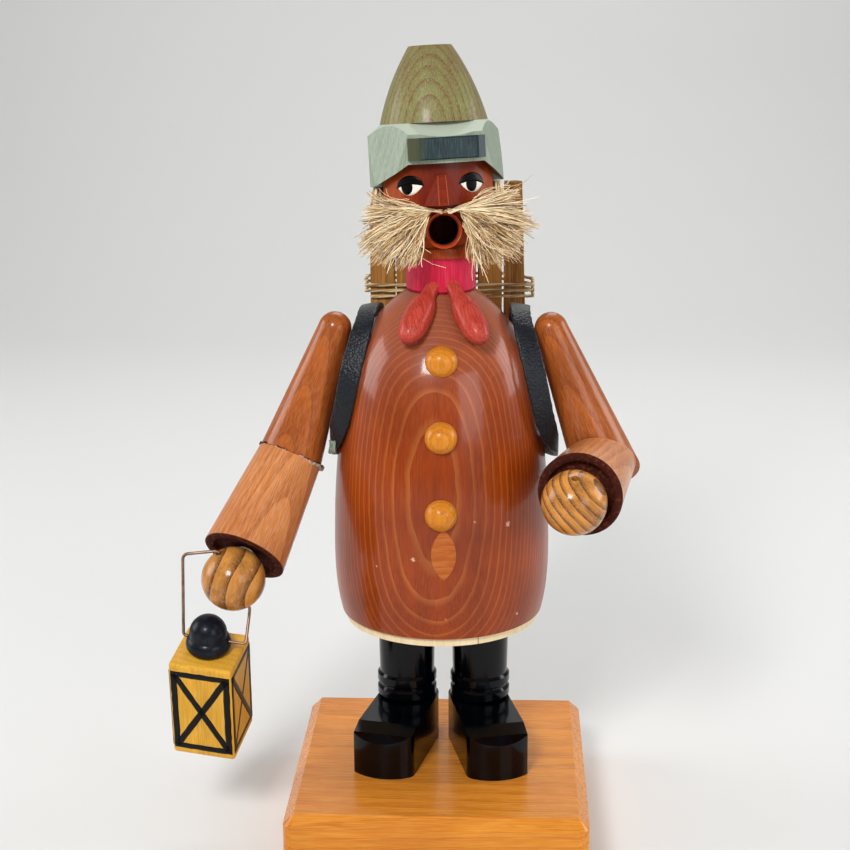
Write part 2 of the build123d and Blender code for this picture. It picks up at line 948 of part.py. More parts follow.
with BuildPart() as hat_peak:
    peak_level = Plane(
        hat_frame.from_local_coords((0, 0, peak_bottom)),
        x_dir=hat_frame.x_dir,
        z_dir=hat_frame.z_dir,
    )
    with BuildSketch(peak_level) as peak_plan:
        with BuildLine():
            Polyline(
                (-peak_width / 2, 0),
                (peak_width / 2, 0),
                (peak_width / 2, peak_end_bevel - peak_front),
                (peak_width / 2 - peak_end_bevel, -peak_front),
                (peak_end_bevel - peak_width / 2, -peak_front),
                (-peak_width / 2, peak_end_bevel - peak_front),
                close=True,
            )
        make_face()
    extrude(peak_plan.sketch, amount=peak_top - peak_bottom)
    rod(
        hat_frame.from_local_coords((0, 0, peak_bottom - overrun)),
        hat_frame.from_local_coords((0, 0, peak_top + overrun)),
        brim_radius + glue_gap,
        mode=Mode.SUBTRACT,
    )
    front_edges = hat_peak.faces().sort_by_distance(
        hat_frame.from_local_coords((0, -peak_front, (peak_bottom + peak_top) / 2))
    )[0].edges()
    chamfer(front_edges, length=peak_edge_bevel)
finish(hat_peak, "hat_peak")

with BuildPart() as hat_crown:
    with BuildSketch(section_of(hat_frame)) as crown_profile:
        with BuildLine():
            ThreePointArc(
                (crown_radius, brim_top),
                (crown_middle_radius, brim_top + crown_middle_height),
                (crown_top_radius, brim_top + crown_height),
            )
            Polyline(
                (crown_top_radius, brim_top + crown_height),
                (0, brim_top + crown_height),
                (0, brim_top),
                (crown_radius, brim_top),
            )
        make_face()
    revolve(crown_profile.sketch, axis=Axis(hat_frame.origin, hat_frame.z_dir))
    rod(
        hat_frame.from_local_coords((0, 0, brim_top - overrun)),
        hat_frame.from_local_coords((0, 0, brim_top + hat_dowel_reach + glue_gap)),
        hat_dowel_radius + glue_gap,
        mode=Mode.SUBTRACT,
    )
finish(hat_crown, "hat_crown")

with BuildPart() as hat_dowel:
    rod(
        hat_frame.from_local_coords((0, 0, head_height - hat_dowel_reach)),
        hat_frame.from_local_coords((0, 0, brim_top + hat_dowel_reach)),
        hat_dowel_radius,
    )
finish(hat_dowel, "hat_dowel")


# Moustache and hair: straws are three-sided bars fused to a slice of glue pad
def straw(start, direction, length):
    """One straw, a three-sided bar."""
    frame = Plane(start, z_dir=direction)
    corners = [
        frame.from_local_coords(
            (straw_width / 2 * cos(radians(turn_angle)), straw_width / 2 * sin(radians(turn_angle)))
        )
        for turn_angle in (90, 210, 330)
    ]
    section = Face(Wire.make_polygon(corners, close=True))
    return Solid.extrude(section, frame.z_dir * length)


def moustache(side, label):
    """A fan of straws in flat layers, its pad beside the nose and mouth."""
    cheek = head_plane(face_yaw + side * tuft_yaw)
    first_layer = head_radius + tuft_layer_pitch
    centre = Vector(-side * tuft_root_back, 0, tuft_root_height)

    def fan_point(angle, reach, layer_depth):
        """A point of the fan, angle in degrees above level."""
        across = side * reach * cos(radians(angle))
        rise = reach * sin(radians(angle))
        local = centre + Vector(across, -layer_depth, rise)
        return cheek.from_local_coords(local)

    def root_reach(place):
        """How far the fan's root lies from its centre, place 0 at the top."""
        return tuft_root_top_reach + place * (tuft_root_bottom_reach - tuft_root_top_reach)

    straws = []
    step = 1 / tuft_strands
    for layer in range(tuft_layers):
        depth = first_layer + layer * tuft_layer_pitch
        flare = tuft_flare * layer / (tuft_layers - 1)
        for index in range(tuft_strands):
            place = (index + (0.25 if layer % 2 else 0.75)) * step
            angle = tuft_top_angle + place * (tuft_bottom_angle - tuft_top_angle)
            start = fan_point(angle, root_reach(place), depth)
            flat_way = (fan_point(angle, tuft_length, depth) - start).normalized()
            way = flat_way - cheek.y_dir * sin(radians(flare))
            length = tuft_length * share_at(tuft_length_shares, place) - root_reach(place)
            straws.append(straw(start, way.normalized(), length))

    pad_steps = tuft_strands
    outline_angles = [
        (index / pad_steps, tuft_top_angle + index / pad_steps * (tuft_bottom_angle - tuft_top_angle))
        for index in range(pad_steps + 1)
    ]
    back = head_radius + glue_gap
    outer_edge = [
        fan_point(angle, root_reach(place) + tuft_pad_half_width, back)
        for place, angle in outline_angles
    ]
    inner_edge = [
        fan_point(angle, root_reach(place) - tuft_pad_half_width, back)
        for place, angle in outline_angles
    ]
    pad_face = Face(Wire.make_polygon(outer_edge + inner_edge[::-1], close=True))
    pad_depth = tuft_layers * tuft_layer_pitch + straw_width
    with BuildPart() as tuft:
        add([Solid.extrude(pad_face, -cheek.y_dir * pad_depth)] + straws)
    finish(tuft, label)


def hair(side, label):
    """A fringe that hangs from a band under the brim, temple to nape."""
    start_azimuth = face_yaw + (hair_start if side > 0 else -hair_end)
    sweep_angle = hair_end - hair_start
    band_top = brim_bottom - glue_gap
    band_inner = head_radius + glue_gap
    band_outer = head_radius + (hair_layers + 0.6) * hair_layer_pitch
    outward = leaned(Vector(0, -1, 0).rotate(Axis.Z, start_azimuth))
    radial = Plane(
        head_frame.origin, x_dir=outward, z_dir=outward.cross(head_frame.z_dir)
    )
    with BuildSketch(radial) as band_section:
        with BuildLine():
            Polyline(
                (band_inner, band_top),
                (band_outer, band_top),
                (band_outer, band_top - hair_band_height),
                (band_inner, band_top - hair_band_height),
                close=True,
            )
        make_face()
    straws = []
    for layer in range(hair_layers):
        radius = head_radius + (layer + 0.8) * hair_layer_pitch
        flare = radians(hair_flare * (layer + 1) / hair_layers)
        for index in range(hair_strands):
            place = (index + (0.3 if layer % 2 else 0.7)) / hair_strands
            azimuth = start_azimuth + place * sweep_angle
            way_out = leaned(Vector(0, -1, 0).rotate(Axis.Z, azimuth))
            start = (
                head_frame.origin
                + way_out * radius
                + head_frame.z_dir * (band_top - hair_band_height / 2)
            )
            way = way_out * sin(flare) - head_frame.z_dir * cos(flare)
            length_share = hair_length_shares[index % len(hair_length_shares)]
            straws.append(straw(start, way, hair_length * length_share))
    with BuildPart() as fringe:
        revolve(
            band_section.sketch,
            axis=Axis(head_frame.origin, head_frame.z_dir),
            revolution_arc=sweep_angle,
        )
        add(straws)
    finish(fringe, label)


for hair_side, hair_name in ((-1, "left"), (1, "right")):
    moustache(hair_side, f"moustache_{hair_name}")
    hair(hair_side, f"hair_{hair_name}")

# Arms: shoulder, elbow and cuff centres, then the pieces along them
arm_sizes = {
    "left": (
        -1, shoulder_reach_left, elbow_reach_left, elbow_drop_left,
        cuff_reach_left, cuff_drop_left, cuff_forward_left, hand_reach_left,
    ),
    "right": (
        1, shoulder_reach_right, elbow_reach_right, elbow_drop_right,
        cuff_reach_right, cuff_drop_right, cuff_forward_right, hand_reach_right,
    ),
}
hand_hole_ways = {
    "left": Vector(
        -tan(radians(hand_hole_tilt_left)), -tan(radians(hand_hole_lean_left)), 1
    ).normalized(),
    "right": Vector(0, -tan(radians(hand_hole_lean_right)), 1).normalized(),
}
hand_centres = {}


def arm(name):
    """One arm: upper arm, forearm, hand and their dowels."""
    side, shoulder_reach, elbow_reach, elbow_drop, *cuff_sizes = arm_sizes[name]
    cuff_reach, cuff_drop, cuff_forward, hand_reach = cuff_sizes
    elbow_height = shoulder_height - elbow_drop
    shoulder = Vector(side * shoulder_reach, -shoulder_forward, shoulder_height)
    elbow = Vector(side * elbow_reach, -elbow_forward, elbow_height)
    cuff = Vector(side * cuff_reach, -cuff_forward, elbow_height - cuff_drop)
    cuff_recess = hand_radius - hand_reach + loose_gap
    upper_way = (elbow - shoulder).normalized()
    fore_way = (cuff - elbow).normalized()
    upper_length = (elbow - shoulder).length
    fore_length = (cuff - elbow).length
    mitre = Plane(elbow, z_dir=upper_way + fore_way)
    mitre_room = 1.4 * elbow_radius
    upper_slope = (elbow_radius - arm_top_radius) / upper_length
    fore_slope = (cuff_radius - elbow_radius) / fore_length
    elbow_ends = (
        elbow - mitre.z_dir * elbow_dowel_reach,
        elbow + mitre.z_dir * elbow_dowel_reach,
    )
    hand_centre = cuff + fore_way * hand_reach
    hand_centres[name] = hand_centre
    wrist_ends = (
        cuff - fore_way * (cuff_recess + wrist_dowel_arm_depth),
        hand_centre - fore_way * (hand_radius - wrist_dowel_hand_depth),
    )
    dowel_start, dowel_end = shoulder_dowel_ends[name]

    upper_frame = Plane(shoulder, z_dir=upper_way)
    with BuildPart() as upper_arm:
        with BuildSketch(section_of(upper_frame)) as upper_profile:
            with BuildLine():
                dome = radians(45)
                ThreePointArc(
                    (0, -arm_top_radius),
                    (arm_top_radius * sin(dome), -arm_top_radius * cos(dome)),
                    (arm_top_radius, 0),
                )
                Polyline(
                    (arm_top_radius, 0),
                    (elbow_radius + upper_slope * mitre_room, upper_length + mitre_room),
                    (0, upper_length + mitre_room),
                    (0, -arm_top_radius),
                )
            make_face()
        revolve(upper_profile.sketch, axis=Axis(upper_frame.origin, upper_frame.z_dir))
        split(bisect_by=mitre, keep=Keep.BOTTOM)
        rod(dowel_start, dowel_end, shoulder_dowel_radius + glue_gap, mode=Mode.SUBTRACT)
        rod(
            elbow_ends[0] - mitre.z_dir * glue_gap,
            elbow_ends[1],
            elbow_dowel_radius + glue_gap,
            mode=Mode.SUBTRACT,
        )
    finish(upper_arm, f"upper_arm_{name}")

    fore_frame = Plane(elbow, z_dir=fore_way)
    cuff_floor = fore_length - cuff_recess
    with BuildPart() as forearm:
        turn(
            [
                (0, -mitre_room),
                (elbow_radius - fore_slope * mitre_room, -mitre_room),
                (cuff_radius, fore_length),
                (cuff_bore, fore_length),
                (cuff_bore, cuff_floor),
                (0, cuff_floor),
            ],
            fore_frame,
        )
        split(bisect_by=mitre, keep=Keep.TOP)
        rod(
            elbow_ends[0],
            elbow_ends[1] + mitre.z_dir * glue_gap,
            elbow_dowel_radius + glue_gap,
            mode=Mode.SUBTRACT,
        )
        rod(
            wrist_ends[0] - fore_way * glue_gap,
            hand_centre,
            wrist_dowel_radius + glue_gap,
            mode=Mode.SUBTRACT,
        )
    finish(forearm, f"forearm_{name}")

    hole_way = hand_hole_ways[name]
    hand_frame = Plane(
        hand_centre, x_dir=fore_way - hole_way * fore_way.dot(hole_way), z_dir=hole_way
    )
    hole_end = (hand_radius**2 - hand_hole_radius**2) ** 0.5
    with BuildPart() as hand:
        with BuildSketch(section_of(hand_frame)) as hand_profile:
            with BuildLine():
                ThreePointArc(
                    (hand_hole_radius, -hole_end), (hand_radius, 0), (hand_hole_radius, hole_end)
                )
                Line((hand_hole_radius, hole_end), (hand_hole_radius, -hole_end))
            make_face()
        revolve(hand_profile.sketch, axis=Axis(hand_centre, hole_way))
        rod(
            cuff - fore_way * cuff_recess,
            wrist_ends[1] + fore_way * glue_gap,
            wrist_dowel_radius + glue_gap,
            mode=Mode.SUBTRACT,
        )
    finish(hand, f"hand_{name}")

    with BuildPart() as shoulder_dowel:
        rod(
            dowel_start + (dowel_end - dowel_start).normalized() * glue_gap,
            dowel_end - (dowel_end - dowel_start).normalized() * glue_gap,
            shoulder_dowel_radius,
        )
    finish(shoulder_dowel, f"shoulder_dowel_{name}")

    with BuildPart() as elbow_dowel:
        rod(elbow_ends[0], elbow_ends[1], elbow_dowel_radius)
    finish(elbow_dowel, f"elbow_dowel_{name}")

    with BuildPart() as wrist_dowel:
        rod(wrist_ends[0], wrist_ends[1], wrist_dowel_radius)
    finish(wrist_dowel, f"wrist_dowel_{name}")


arm("left")
arm("right")

# Firewood: its front face stands just clear of the widest part of the coat
bundle_front = coat_radius_at(stick_bottom) + bundle_gap
strap_end_y = bundle_front - loose_gap - strap_thickness / 2
strap_sides = {"left": (-1, 0), "right": (1, strap_shift_right)}


def strap_place(side, shift, outward_share, forward_share, height_share):
    """A station of the strap's route."""
    return Vector(
        side * (outward_share * coat_radius + shift),
        -forward_share * coat_radius,
        coat_bottom + height_share * coat_height,
    )


def tack_places(side, shift):
    """Where a strap's two ends are nailed to the sticks."""
    first = strap_place(side, shift, *strap_route_shares[0][:3])
    last = strap_place(side, shift, *strap_route_shares[-1][:3])
    return (
        Vector(first.X, strap_end_y, first.Z - strap_width - strap_end_length / 2),
        Vector(last.X - side * strap_tail_length, strap_end_y, last.Z),
    )


def strap(side, shift, label):
    """A leather band, lofted through upright stations along its route."""
    places = [strap_place(side, shift, *station[:3]) for station in strap_route_shares]
    normals = [
        Vector(
            side * sin(radians(azimuth)) * cos(radians(elevation)),
            -cos(radians(azimuth)) * cos(radians(elevation)),
            sin(radians(elevation)),
        )
        for *_, azimuth, elevation in strap_route_shares
    ]
    top_tack, tail_tack = tack_places(side, shift)
    back = Vector(0, 1, 0)
    half_end = Vector(0, 0, strap_end_length / 2)
    half_tail = Vector(side * strap_tail_length / 3, 0, 0)
    places = [top_tack - half_end, top_tack + half_end] + places
    places += [tail_tack + half_tail, tail_tack - half_tail]
    normals = [back, back] + normals + [back, back]
    sections = []
    for index, place in enumerate(places):
        ahead = places[min(index + 1, len(places) - 1)]
        behind = places[max(index - 1, 0)]
        if index == 1:
            behind = place
            ahead = place + half_end
        if index == len(places) - 2:
            behind = place
            ahead = place - half_tail
        travel = (ahead - behind).normalized()
        across = normals[index].cross(travel).normalized()
        with BuildSketch(Plane(place, x_dir=across, z_dir=travel)) as band_section:
            Rectangle(strap_width, strap_thickness)
        sections.append(band_section.sketch.face())
    with BuildPart() as band:
        loft(sections=sections)
        for tack_place in (top_tack, tail_tack):
            rod(
                tack_place - back * overrun,
                tack_place + back * overrun,
                strap_tack_shank_radius + glue_gap,
                mode=Mode.SUBTRACT,
            )
    finish(band, label)


all_tacks = []
for strap_name, (strap_side, strap_shift) in strap_sides.items():
    strap(strap_side, strap_shift, f"strap_{strap_name}")
    all_tacks += tack_places(strap_side, strap_shift)

with BuildPart() as strap_tacks:
    for tack_place in all_tacks:
        head_back = tack_place - Vector(0, strap_thickness / 2 + glue_gap, 0)
        rod(head_back - Vector(0, strap_tack_height, 0), head_back, strap_tack_radius)
        rod(
            head_back,
            head_back + Vector(0, strap_thickness + strap_tack_shank_length, 0),
            strap_tack_shank_radius,
        )
finish(strap_tacks, "strap_tacks")


def stick(centre_x, front_y, length_share, top_share, lean_share, label):
    """A split stick: a five-sided section that narrows and leans to its top."""
    length = length_share * stick_length
    centre_y = front_y + stick_depth / 2

    def outline(height, width_share, shift):
        """The stick's section at a height."""
        with BuildSketch(Plane((centre_x + shift, centre_y, height))) as section:
            with BuildLine():
                Polyline(
                    *[
                        (
                            across_share * width_share * stick_width / 2,
                            back_share * width_share * stick_depth / 2,
                        )
                        for across_share, back_share in stick_outline_shares
                    ],
                    close=True,
                )
            make_face()
        return section.sketch.face()

    with BuildPart() as split_stick:
        loft(
            sections=[
                outline(stick_bottom, 1, 0),
                outline(stick_bottom + length, top_share, lean_share * stick_width),
            ],
            ruled=True,
        )
        for tack_place in all_tacks:
            rod(
                tack_place,
                tack_place + Vector(0, strap_thickness + strap_tack_shank_length, 0),
                strap_tack_shank_radius + glue_gap,
                mode=Mode.SUBTRACT,
            )
    finish(split_stick, label)


def stick_row(shares, front_y, name):
    """A row of sticks side by side, centred on the bundle."""
    pitch = stick_width + stick_gap
    for index, stick_shares in enumerate(shares):
        centre_x = bundle_shift + (index - (len(shares) - 1) / 2) * pitch
        stick(centre_x, front_y, *stick_shares, f"{name}_{index + 1}")


rear_front = bundle_front + stick_depth + stick_gap
stick_row(front_stick_shares, bundle_front, "stick_front")
stick_row(rear_stick_shares, rear_front, "stick_rear")


def twine(height_share, label):
    """One cord wound round the bundle, climbing a little at each corner."""
    stand = twine_radius + stick_gap
    front_half = len(front_stick_shares) * (stick_width + stick_gap) / 2 + stand
    rear_half = len(rear_stick_shares) * (stick_width + stick_gap) / 2 + stand
    front_y = bundle_front - stand
    middle_y = rear_front + stand
    rear_y = rear_front + stick_depth + stand
    loop = [
        (-front_half, front_y),
        (front_half, front_y),
        (front_half, middle_y),
        (rear_half, rear_y),
        (-rear_half, rear_y),
        (-front_half, middle_y),
    ]
    base = stick_bottom + height_share * stick_length
    count = twine_turns * len(loop) + 1
    corners = []
    for index in range(count):
        corner_x, corner_y = loop[index % len(loop)]
        climb = base + index / len(loop) * twine_pitch
        corners.append(Vector(bundle_shift + corner_x, corner_y, climb))
    start = (corners[0] + corners[1]) / 2
    end = (corners[-1] + corners[-2]) / 2
    route = FilletPolyline(start, *corners[1:-1], end, radius=twine_corner_radius)
    with BuildPart() as cord:
        with BuildSketch(Plane(start, z_dir=route % 0)):
            Circle(twine_radius)
        sweep(path=route)
    finish(cord, label)
    samples = [route @ (index / 900) for index in range(901)]
    turn_samples = 900 // twine_turns // 2
    least = min(
        (samples[first] - samples[second]).length
        for first in range(0, 901, 3)
        for second in range(first + turn_samples, 901, 3)
    )
    print(label, "length", round(route.length, 1), "gap to itself", round(least - 2 * twine_radius, 2))


twine(twine_height_shares[0], "twine_lower")
twine(twine_height_shares[1], "twine_upper")


# Lantern and the wire that hangs it from the left hand
def lantern_turned(vector):
    """Turn a direction with the lantern."""
    rolled = vector.rotate(Axis.Y, lantern_roll).rotate(Axis.X, lantern_pitch)
    return rolled.rotate(Axis.Z, lantern_yaw)


lantern_frame = Plane(
    hand_centres["left"] - Vector(lantern_outward, lantern_ahead, lantern_drop),
    x_dir=lantern_turned(Vector(1, 0, 0)),
    z_dir=lantern_turned(Vector(0, 0, 1)),
)
wire_axis_centre = lantern_frame.from_local_coords((0, 0, knob_hole_height))
wire_axis = lantern_frame.x_dir

with BuildPart() as lantern_body:
    with BuildSketch(lantern_frame) as lantern_plan:
        Rectangle(lantern_width, lantern_width)
    extrude(lantern_plan.sketch, amount=-lantern_height)
    fillet(lantern_body.edges(), lantern_edge_round)
    rod(
        lantern_frame.from_local_coords((0, 0, -knob_peg_reach - glue_gap)),
        lantern_frame.from_local_coords((0, 0, overrun)),
        knob_peg_radius + glue_gap,
        mode=Mode.SUBTRACT,
    )
finish(lantern_body, "lantern_body")

with BuildPart() as lantern_knob:
    with BuildSketch(section_of(lantern_frame)) as knob_profile:
        with BuildLine():
            dome_top = knob_dome_centre + knob_dome_radius
            ThreePointArc(
                (knob_foot_radius, 0),
                (knob_radius, knob_belt_height),
                (knob_dome_radius, knob_shoulder_height),
            )
            Line((knob_dome_radius, knob_shoulder_height), (knob_dome_radius, knob_dome_centre))
            ThreePointArc(
                (knob_dome_radius, knob_dome_centre),
                (
                    knob_dome_radius * sin(radians(45)),
                    knob_dome_centre + knob_dome_radius * cos(radians(45)),
                ),
                (0, dome_top),
            )
            Polyline((0, dome_top), (0, 0), (knob_foot_radius, 0))
        make_face()
    revolve(knob_profile.sketch, axis=Axis(lantern_frame.origin, lantern_frame.z_dir))
    rod(
        wire_axis_centre - wire_axis * (knob_radius + overrun),
        wire_axis_centre + wire_axis * (knob_radius + overrun),
        wire_radius + wire_gap,
        mode=Mode.SUBTRACT,
    )
    rod(
        lantern_frame.from_local_coords((0, 0, -overrun)),
        lantern_frame.from_local_coords((0, 0, knob_hole_height - wire_radius - 2 * wire_gap)),
        knob_peg_radius + glue_gap,
        mode=Mode.SUBTRACT,
    )
finish(lantern_knob, "lantern_knob")

with BuildPart() as knob_peg:
    rod(
        lantern_frame.from_local_coords((0, 0, -knob_peg_reach)),
        lantern_frame.from_local_coords((0, 0, knob_hole_height - wire_radius - 3 * wire_gap)),
        knob_peg_radius,
    )
finish(knob_peg, "knob_peg")

hole_way = hand_hole_ways["left"]
wire_end_reach = knob_radius - wire_hook_depth
wire_points = [
    wire_axis_centre - wire_axis * wire_end_reach,
    wire_axis_centre - wire_axis * (knob_radius + wire_left_stand),
    hand_centres["left"] + Vector(-wire_corner_outward, -wire_corner_ahead, wire_corner_rise),
    hand_centres["left"] + hole_way * (hand_radius + wire_hole_lead),
    hand_centres["left"] - hole_way * (hand_radius + wire_exit_lead),
    wire_axis_centre + wire_axis * (knob_radius + wire_right_stand),
    wire_axis_centre + wire_axis * wire_end_reach,
]
wire_route = FilletPolyline(
    *wire_points,
    radius=[
        wire_hook_radius,
        wire_bend_radius,
        wire_hole_bend_radius,
        wire_bend_radius,
        wire_hook_radius,
    ],
)
with BuildPart() as lantern_bail:
    with BuildSketch(Plane(wire_points[0], z_dir=wire_route % 0)):
        Circle(wire_radius)
    sweep(path=wire_route)
finish(lantern_bail, "lantern_bail")

print("hand centres", hand_centres)
print("bail hinge", hand_centres["left"], hole_way)
print("lantern hinge", wire_axis_centre, wire_axis)
print("levels: disc top", disc_top, "chamber top", chamber_top, "coat top", coat_top)
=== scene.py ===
"""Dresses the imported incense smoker: wood, paint, straw, leather, twine and wire."""

import math
import random

import bpy
from bpy.props import FloatProperty, FloatVectorProperty, IntProperty, PointerProperty
from mathutils import Matrix, Vector


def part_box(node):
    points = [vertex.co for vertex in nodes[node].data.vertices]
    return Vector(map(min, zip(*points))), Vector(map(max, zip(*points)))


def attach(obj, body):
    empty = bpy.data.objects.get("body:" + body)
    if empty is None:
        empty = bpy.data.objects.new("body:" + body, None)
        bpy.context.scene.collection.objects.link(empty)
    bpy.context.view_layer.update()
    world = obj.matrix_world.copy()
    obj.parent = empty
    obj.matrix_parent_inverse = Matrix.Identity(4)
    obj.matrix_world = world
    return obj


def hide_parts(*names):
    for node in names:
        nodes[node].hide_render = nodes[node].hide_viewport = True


bl_info = {
    "name": "Incense Smoker Finishes",
    "version": (1, 0, 0),
    "blender": (4, 5, 0),
    "location": "3D View > Sidebar > Smoker",
    "description": "Gives the packed incense smoker its wood, paint, straw and leather",
    "category": "Object",
}

MM = 0.001
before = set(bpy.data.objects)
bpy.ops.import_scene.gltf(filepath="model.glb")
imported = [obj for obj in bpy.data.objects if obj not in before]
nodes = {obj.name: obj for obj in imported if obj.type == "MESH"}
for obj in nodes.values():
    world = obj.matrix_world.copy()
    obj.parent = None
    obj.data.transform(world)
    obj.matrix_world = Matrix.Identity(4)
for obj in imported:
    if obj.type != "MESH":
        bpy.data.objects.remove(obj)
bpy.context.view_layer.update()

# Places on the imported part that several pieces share, in millimetres and degrees
COLLAR_TOP = 233.7
HEAD_RADIUS = 22.0
HEAD_LEAN_BACK = -5.0
HEAD_LEAN_SIDE = -3.0
FACE_YAW = 7.0
BRIM_BOTTOM = 27.0
# Shoulder, elbow and cuff of each arm, and the middle of each hand
ARMS = {
    "left": (
        Vector((-41.9, -3.0, 204.0)), Vector((-60.6, -4.2, 151.8)), Vector((-76.1, -36.0, 119.7)),
    ),
    "right": (
        Vector((43.6, -3.0, 204.0)), Vector((65.0, -4.2, 150.1)), Vector((54.3, -43.0, 148.2)),
    ),
}
HANDS = {"left": Vector((-79.47, -42.92, 112.72)), "right": Vector((51.75, -52.24, 147.76))}
SIDES = ((-1, "left"), (1, "right"))
BACKWARD = Vector((0, 1, 0))
UPWARD = Vector((0, 0, 1))


# Colours, meshes and placing
def linear(hex_colour):
    """Turn an sRGB hex value into the linear colour that a socket takes."""
    channels = [int(hex_colour[i : i + 2], 16) / 255 for i in (1, 3, 5)]
    return tuple(
        c / 12.92 if c <= 0.04045 else ((c + 0.055) / 1.055) ** 2.4 for c in channels
    ) + (1.0,)


def rotation(degrees, axis):
    """A turn about one axis."""
    return Matrix.Rotation(math.radians(degrees), 4, axis)


def head_matrix(yaw):
    """The head's frame, its -Y facing along a yaw, in metres."""
    lean = rotation(HEAD_LEAN_BACK, "X") @ rotation(HEAD_LEAN_SIDE, "Y")
    return Matrix.Translation((0, 0, COLLAR_TOP * MM)) @ lean @ rotation(yaw, "Z")


def on_head(across, height, proud):
    """A point on the head's turned side, by arc length from the face's middle and height."""
    angle = across / HEAD_RADIUS
    reach = (HEAD_RADIUS + proud) * MM
    local = Vector((reach * math.sin(angle), -reach * math.cos(angle), height * MM))
    return head_matrix(FACE_YAW) @ local


def make_object(name, verts, faces, material):
    """Make a smooth mesh object with one material."""
    mesh = bpy.data.meshes.new(name)
    mesh.from_pydata([tuple(v) for v in verts], [], faces)
    mesh.validate()
    mesh.update()
    mesh.polygons.foreach_set("use_smooth", [True] * len(mesh.polygons))
    mesh.materials.append(material)
    made = bpy.data.objects.new(name, mesh)
    bpy.context.scene.collection.objects.link(made)
    return made


def new_piece(name, verts, faces, material, body, replaces=()):
    """Make a mesh piece that rides on a body."""
    piece = make_object(name, verts, faces, material)
    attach(piece, body)
    if replaces:
        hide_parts(*replaces)
    return piece


def dress(names, material):
    """Give CAD nodes a material."""
    for name in names:
        node = nodes[name]
        if not node.material_slots:
            node.data.materials.append(material)
        for holder in node.material_slots:
            holder.link = "OBJECT"
            holder.material = material


def travel_at(path, index):
    """The way a path runs at one of its points."""
    ahead = path[min(index + 1, len(path) - 1)]
    behind = path[max(index - 1, 0)]
    return (ahead - behind).normalized()


def add_bands(faces, start, rings, corners, closed=False, flip=False):
    """Join rings of corners by quads; close the row of rings on itself or cap its ends."""
    for ring in range(rings if closed else rings - 1):
        here = start + ring * corners
        ahead = start + (ring + 1) % rings * corners
        for corner in range(corners):
            beside = (corner + 1) % corners
            quad = (here + corner, here + beside, ahead + beside, ahead + corner)
            faces.append((quad[0], *quad[:0:-1]) if flip else quad)
    if not closed:
        last = start + (rings - 1) * corners
        faces.append(tuple(start + corner for corner in reversed(range(corners))))
        faces.append(tuple(last + corner for corner in range(corners)))


def add_tube(verts, faces, path, radii, sides, phase=0.0):
    """Add a closed tube along a path, with one radius for each point."""
    start = len(verts)
    side_way = None
    for index, point in enumerate(path):
        travel = travel_at(path, index)
        if side_way is None:
            seed = UPWARD if abs(travel.z) < 0.9 else Vector((1, 0, 0))
            side_way = travel.cross(seed).normalized()
        side_way = (side_way - travel * side_way.dot(travel)).normalized()
        other_way = travel.cross(side_way)
        for corner in range(sides):
            angle = phase + 2 * math.pi * corner / sides
            out = side_way * math.cos(angle) + other_way * math.sin(angle)
            verts.append(point + out * radii[index])
    add_bands(faces, start, len(path), sides)


def add_sheet(verts, faces, lower, upper, place, outer, inner):
    """Add a closed skin between two lines, laid by place() at an outer and an inner height."""
    rows = 5
    columns = len(lower)
    start = len(verts)
    for proud in (outer, inner):
        for row in range(rows):
            share = row / (rows - 1)
            for low, high in zip(lower, upper):
                across = low[0] + (high[0] - low[0]) * share
                height = low[1] + (high[1] - low[1]) * share
                verts.append(place(across, height, proud))
    layer = rows * columns
    for row in range(rows - 1):
        for column in range(columns - 1):
            a = start + row * columns + column
            b = a + layer
            faces.append((a, a + 1, a + 1 + columns, a + columns))
            faces.append((b, b + columns, b + 1 + columns, b + 1))
    rim = [start + c for c in range(columns)]
    rim += [start + r * columns + columns - 1 for r in range(1, rows)]
    rim += [start + (rows - 1) * columns + c for c in range(columns - 2, -1, -1)]
    rim += [start + r * columns for r in range(rows - 2, 0, -1)]
    for a, b in zip(rim, rim[1:] + rim[:1]):
        faces.append((b, a, a + layer, b + layer))


def rounded(points, steps):
    """A smooth line through points, by Catmull-Rom."""
    line = []
    for index in range(len(points) - 1):
        p0 = points[max(index - 1, 0)]
        p1 = points[index]
        p2 = points[index + 1]
        p3 = points[min(index + 2, len(points) - 1)]
        slope = p2 - p0
        bend = 2 * p0 - 5 * p1 + 4 * p2 - p3
        twist = 3 * p1 - p0 - 3 * p2 + p3
        for step in range(steps):
            t = step / steps
            line.append(0.5 * (2 * p1 + slope * t + bend * t * t + twist * t * t * t))
    line.append(points[-1].copy())
    return line


# Shader nodes
def add_node(tree, kind, inputs=None, **settings):
    """Add a node with its settings, and set or link its inputs."""
    node = tree.nodes.new(kind)
    for key, value in settings.items():
        setattr(node, key, value)
    for key, value in (inputs or {}).items():
        if isinstance(value, bpy.types.NodeSocket):
            tree.links.new(value, node.inputs[key])
        else:
            node.inputs[key].default_value = value
    return node


def remap(value, low, high, start=0.0, end=1.0):
    """A value that runs from start to end while the input runs from low to high."""
    inputs = {0: value, 1: low, 2: high, 3: start, 4: end}
    return add_node(value.id_data, "ShaderNodeMapRange", inputs).outputs[0]


def noise(place, grain_mm, detail, roughness=0.5, output="Fac"):
    """Noise with a grain size in millimetres."""
    scale = 1 / (grain_mm * MM)
    inputs = {"Vector": place, "Scale": scale, "Detail": detail, "Roughness": roughness}
    return add_node(place.id_data, "ShaderNodeTexNoise", inputs).outputs[output]


def maths(operation, first, second):
    """One operation on two values."""
    inputs = {0: first, 1: second}
    return add_node(first.id_data, "ShaderNodeMath", inputs, operation=operation).outputs[0]


def vector_maths(operation, *vectors):
    """One operation on vectors, as the node's outputs Vector and Value."""
    inputs = dict(enumerate(vectors))
    tree = vectors[0].id_data
    return add_node(tree, "ShaderNodeVectorMath", inputs, operation=operation).outputs


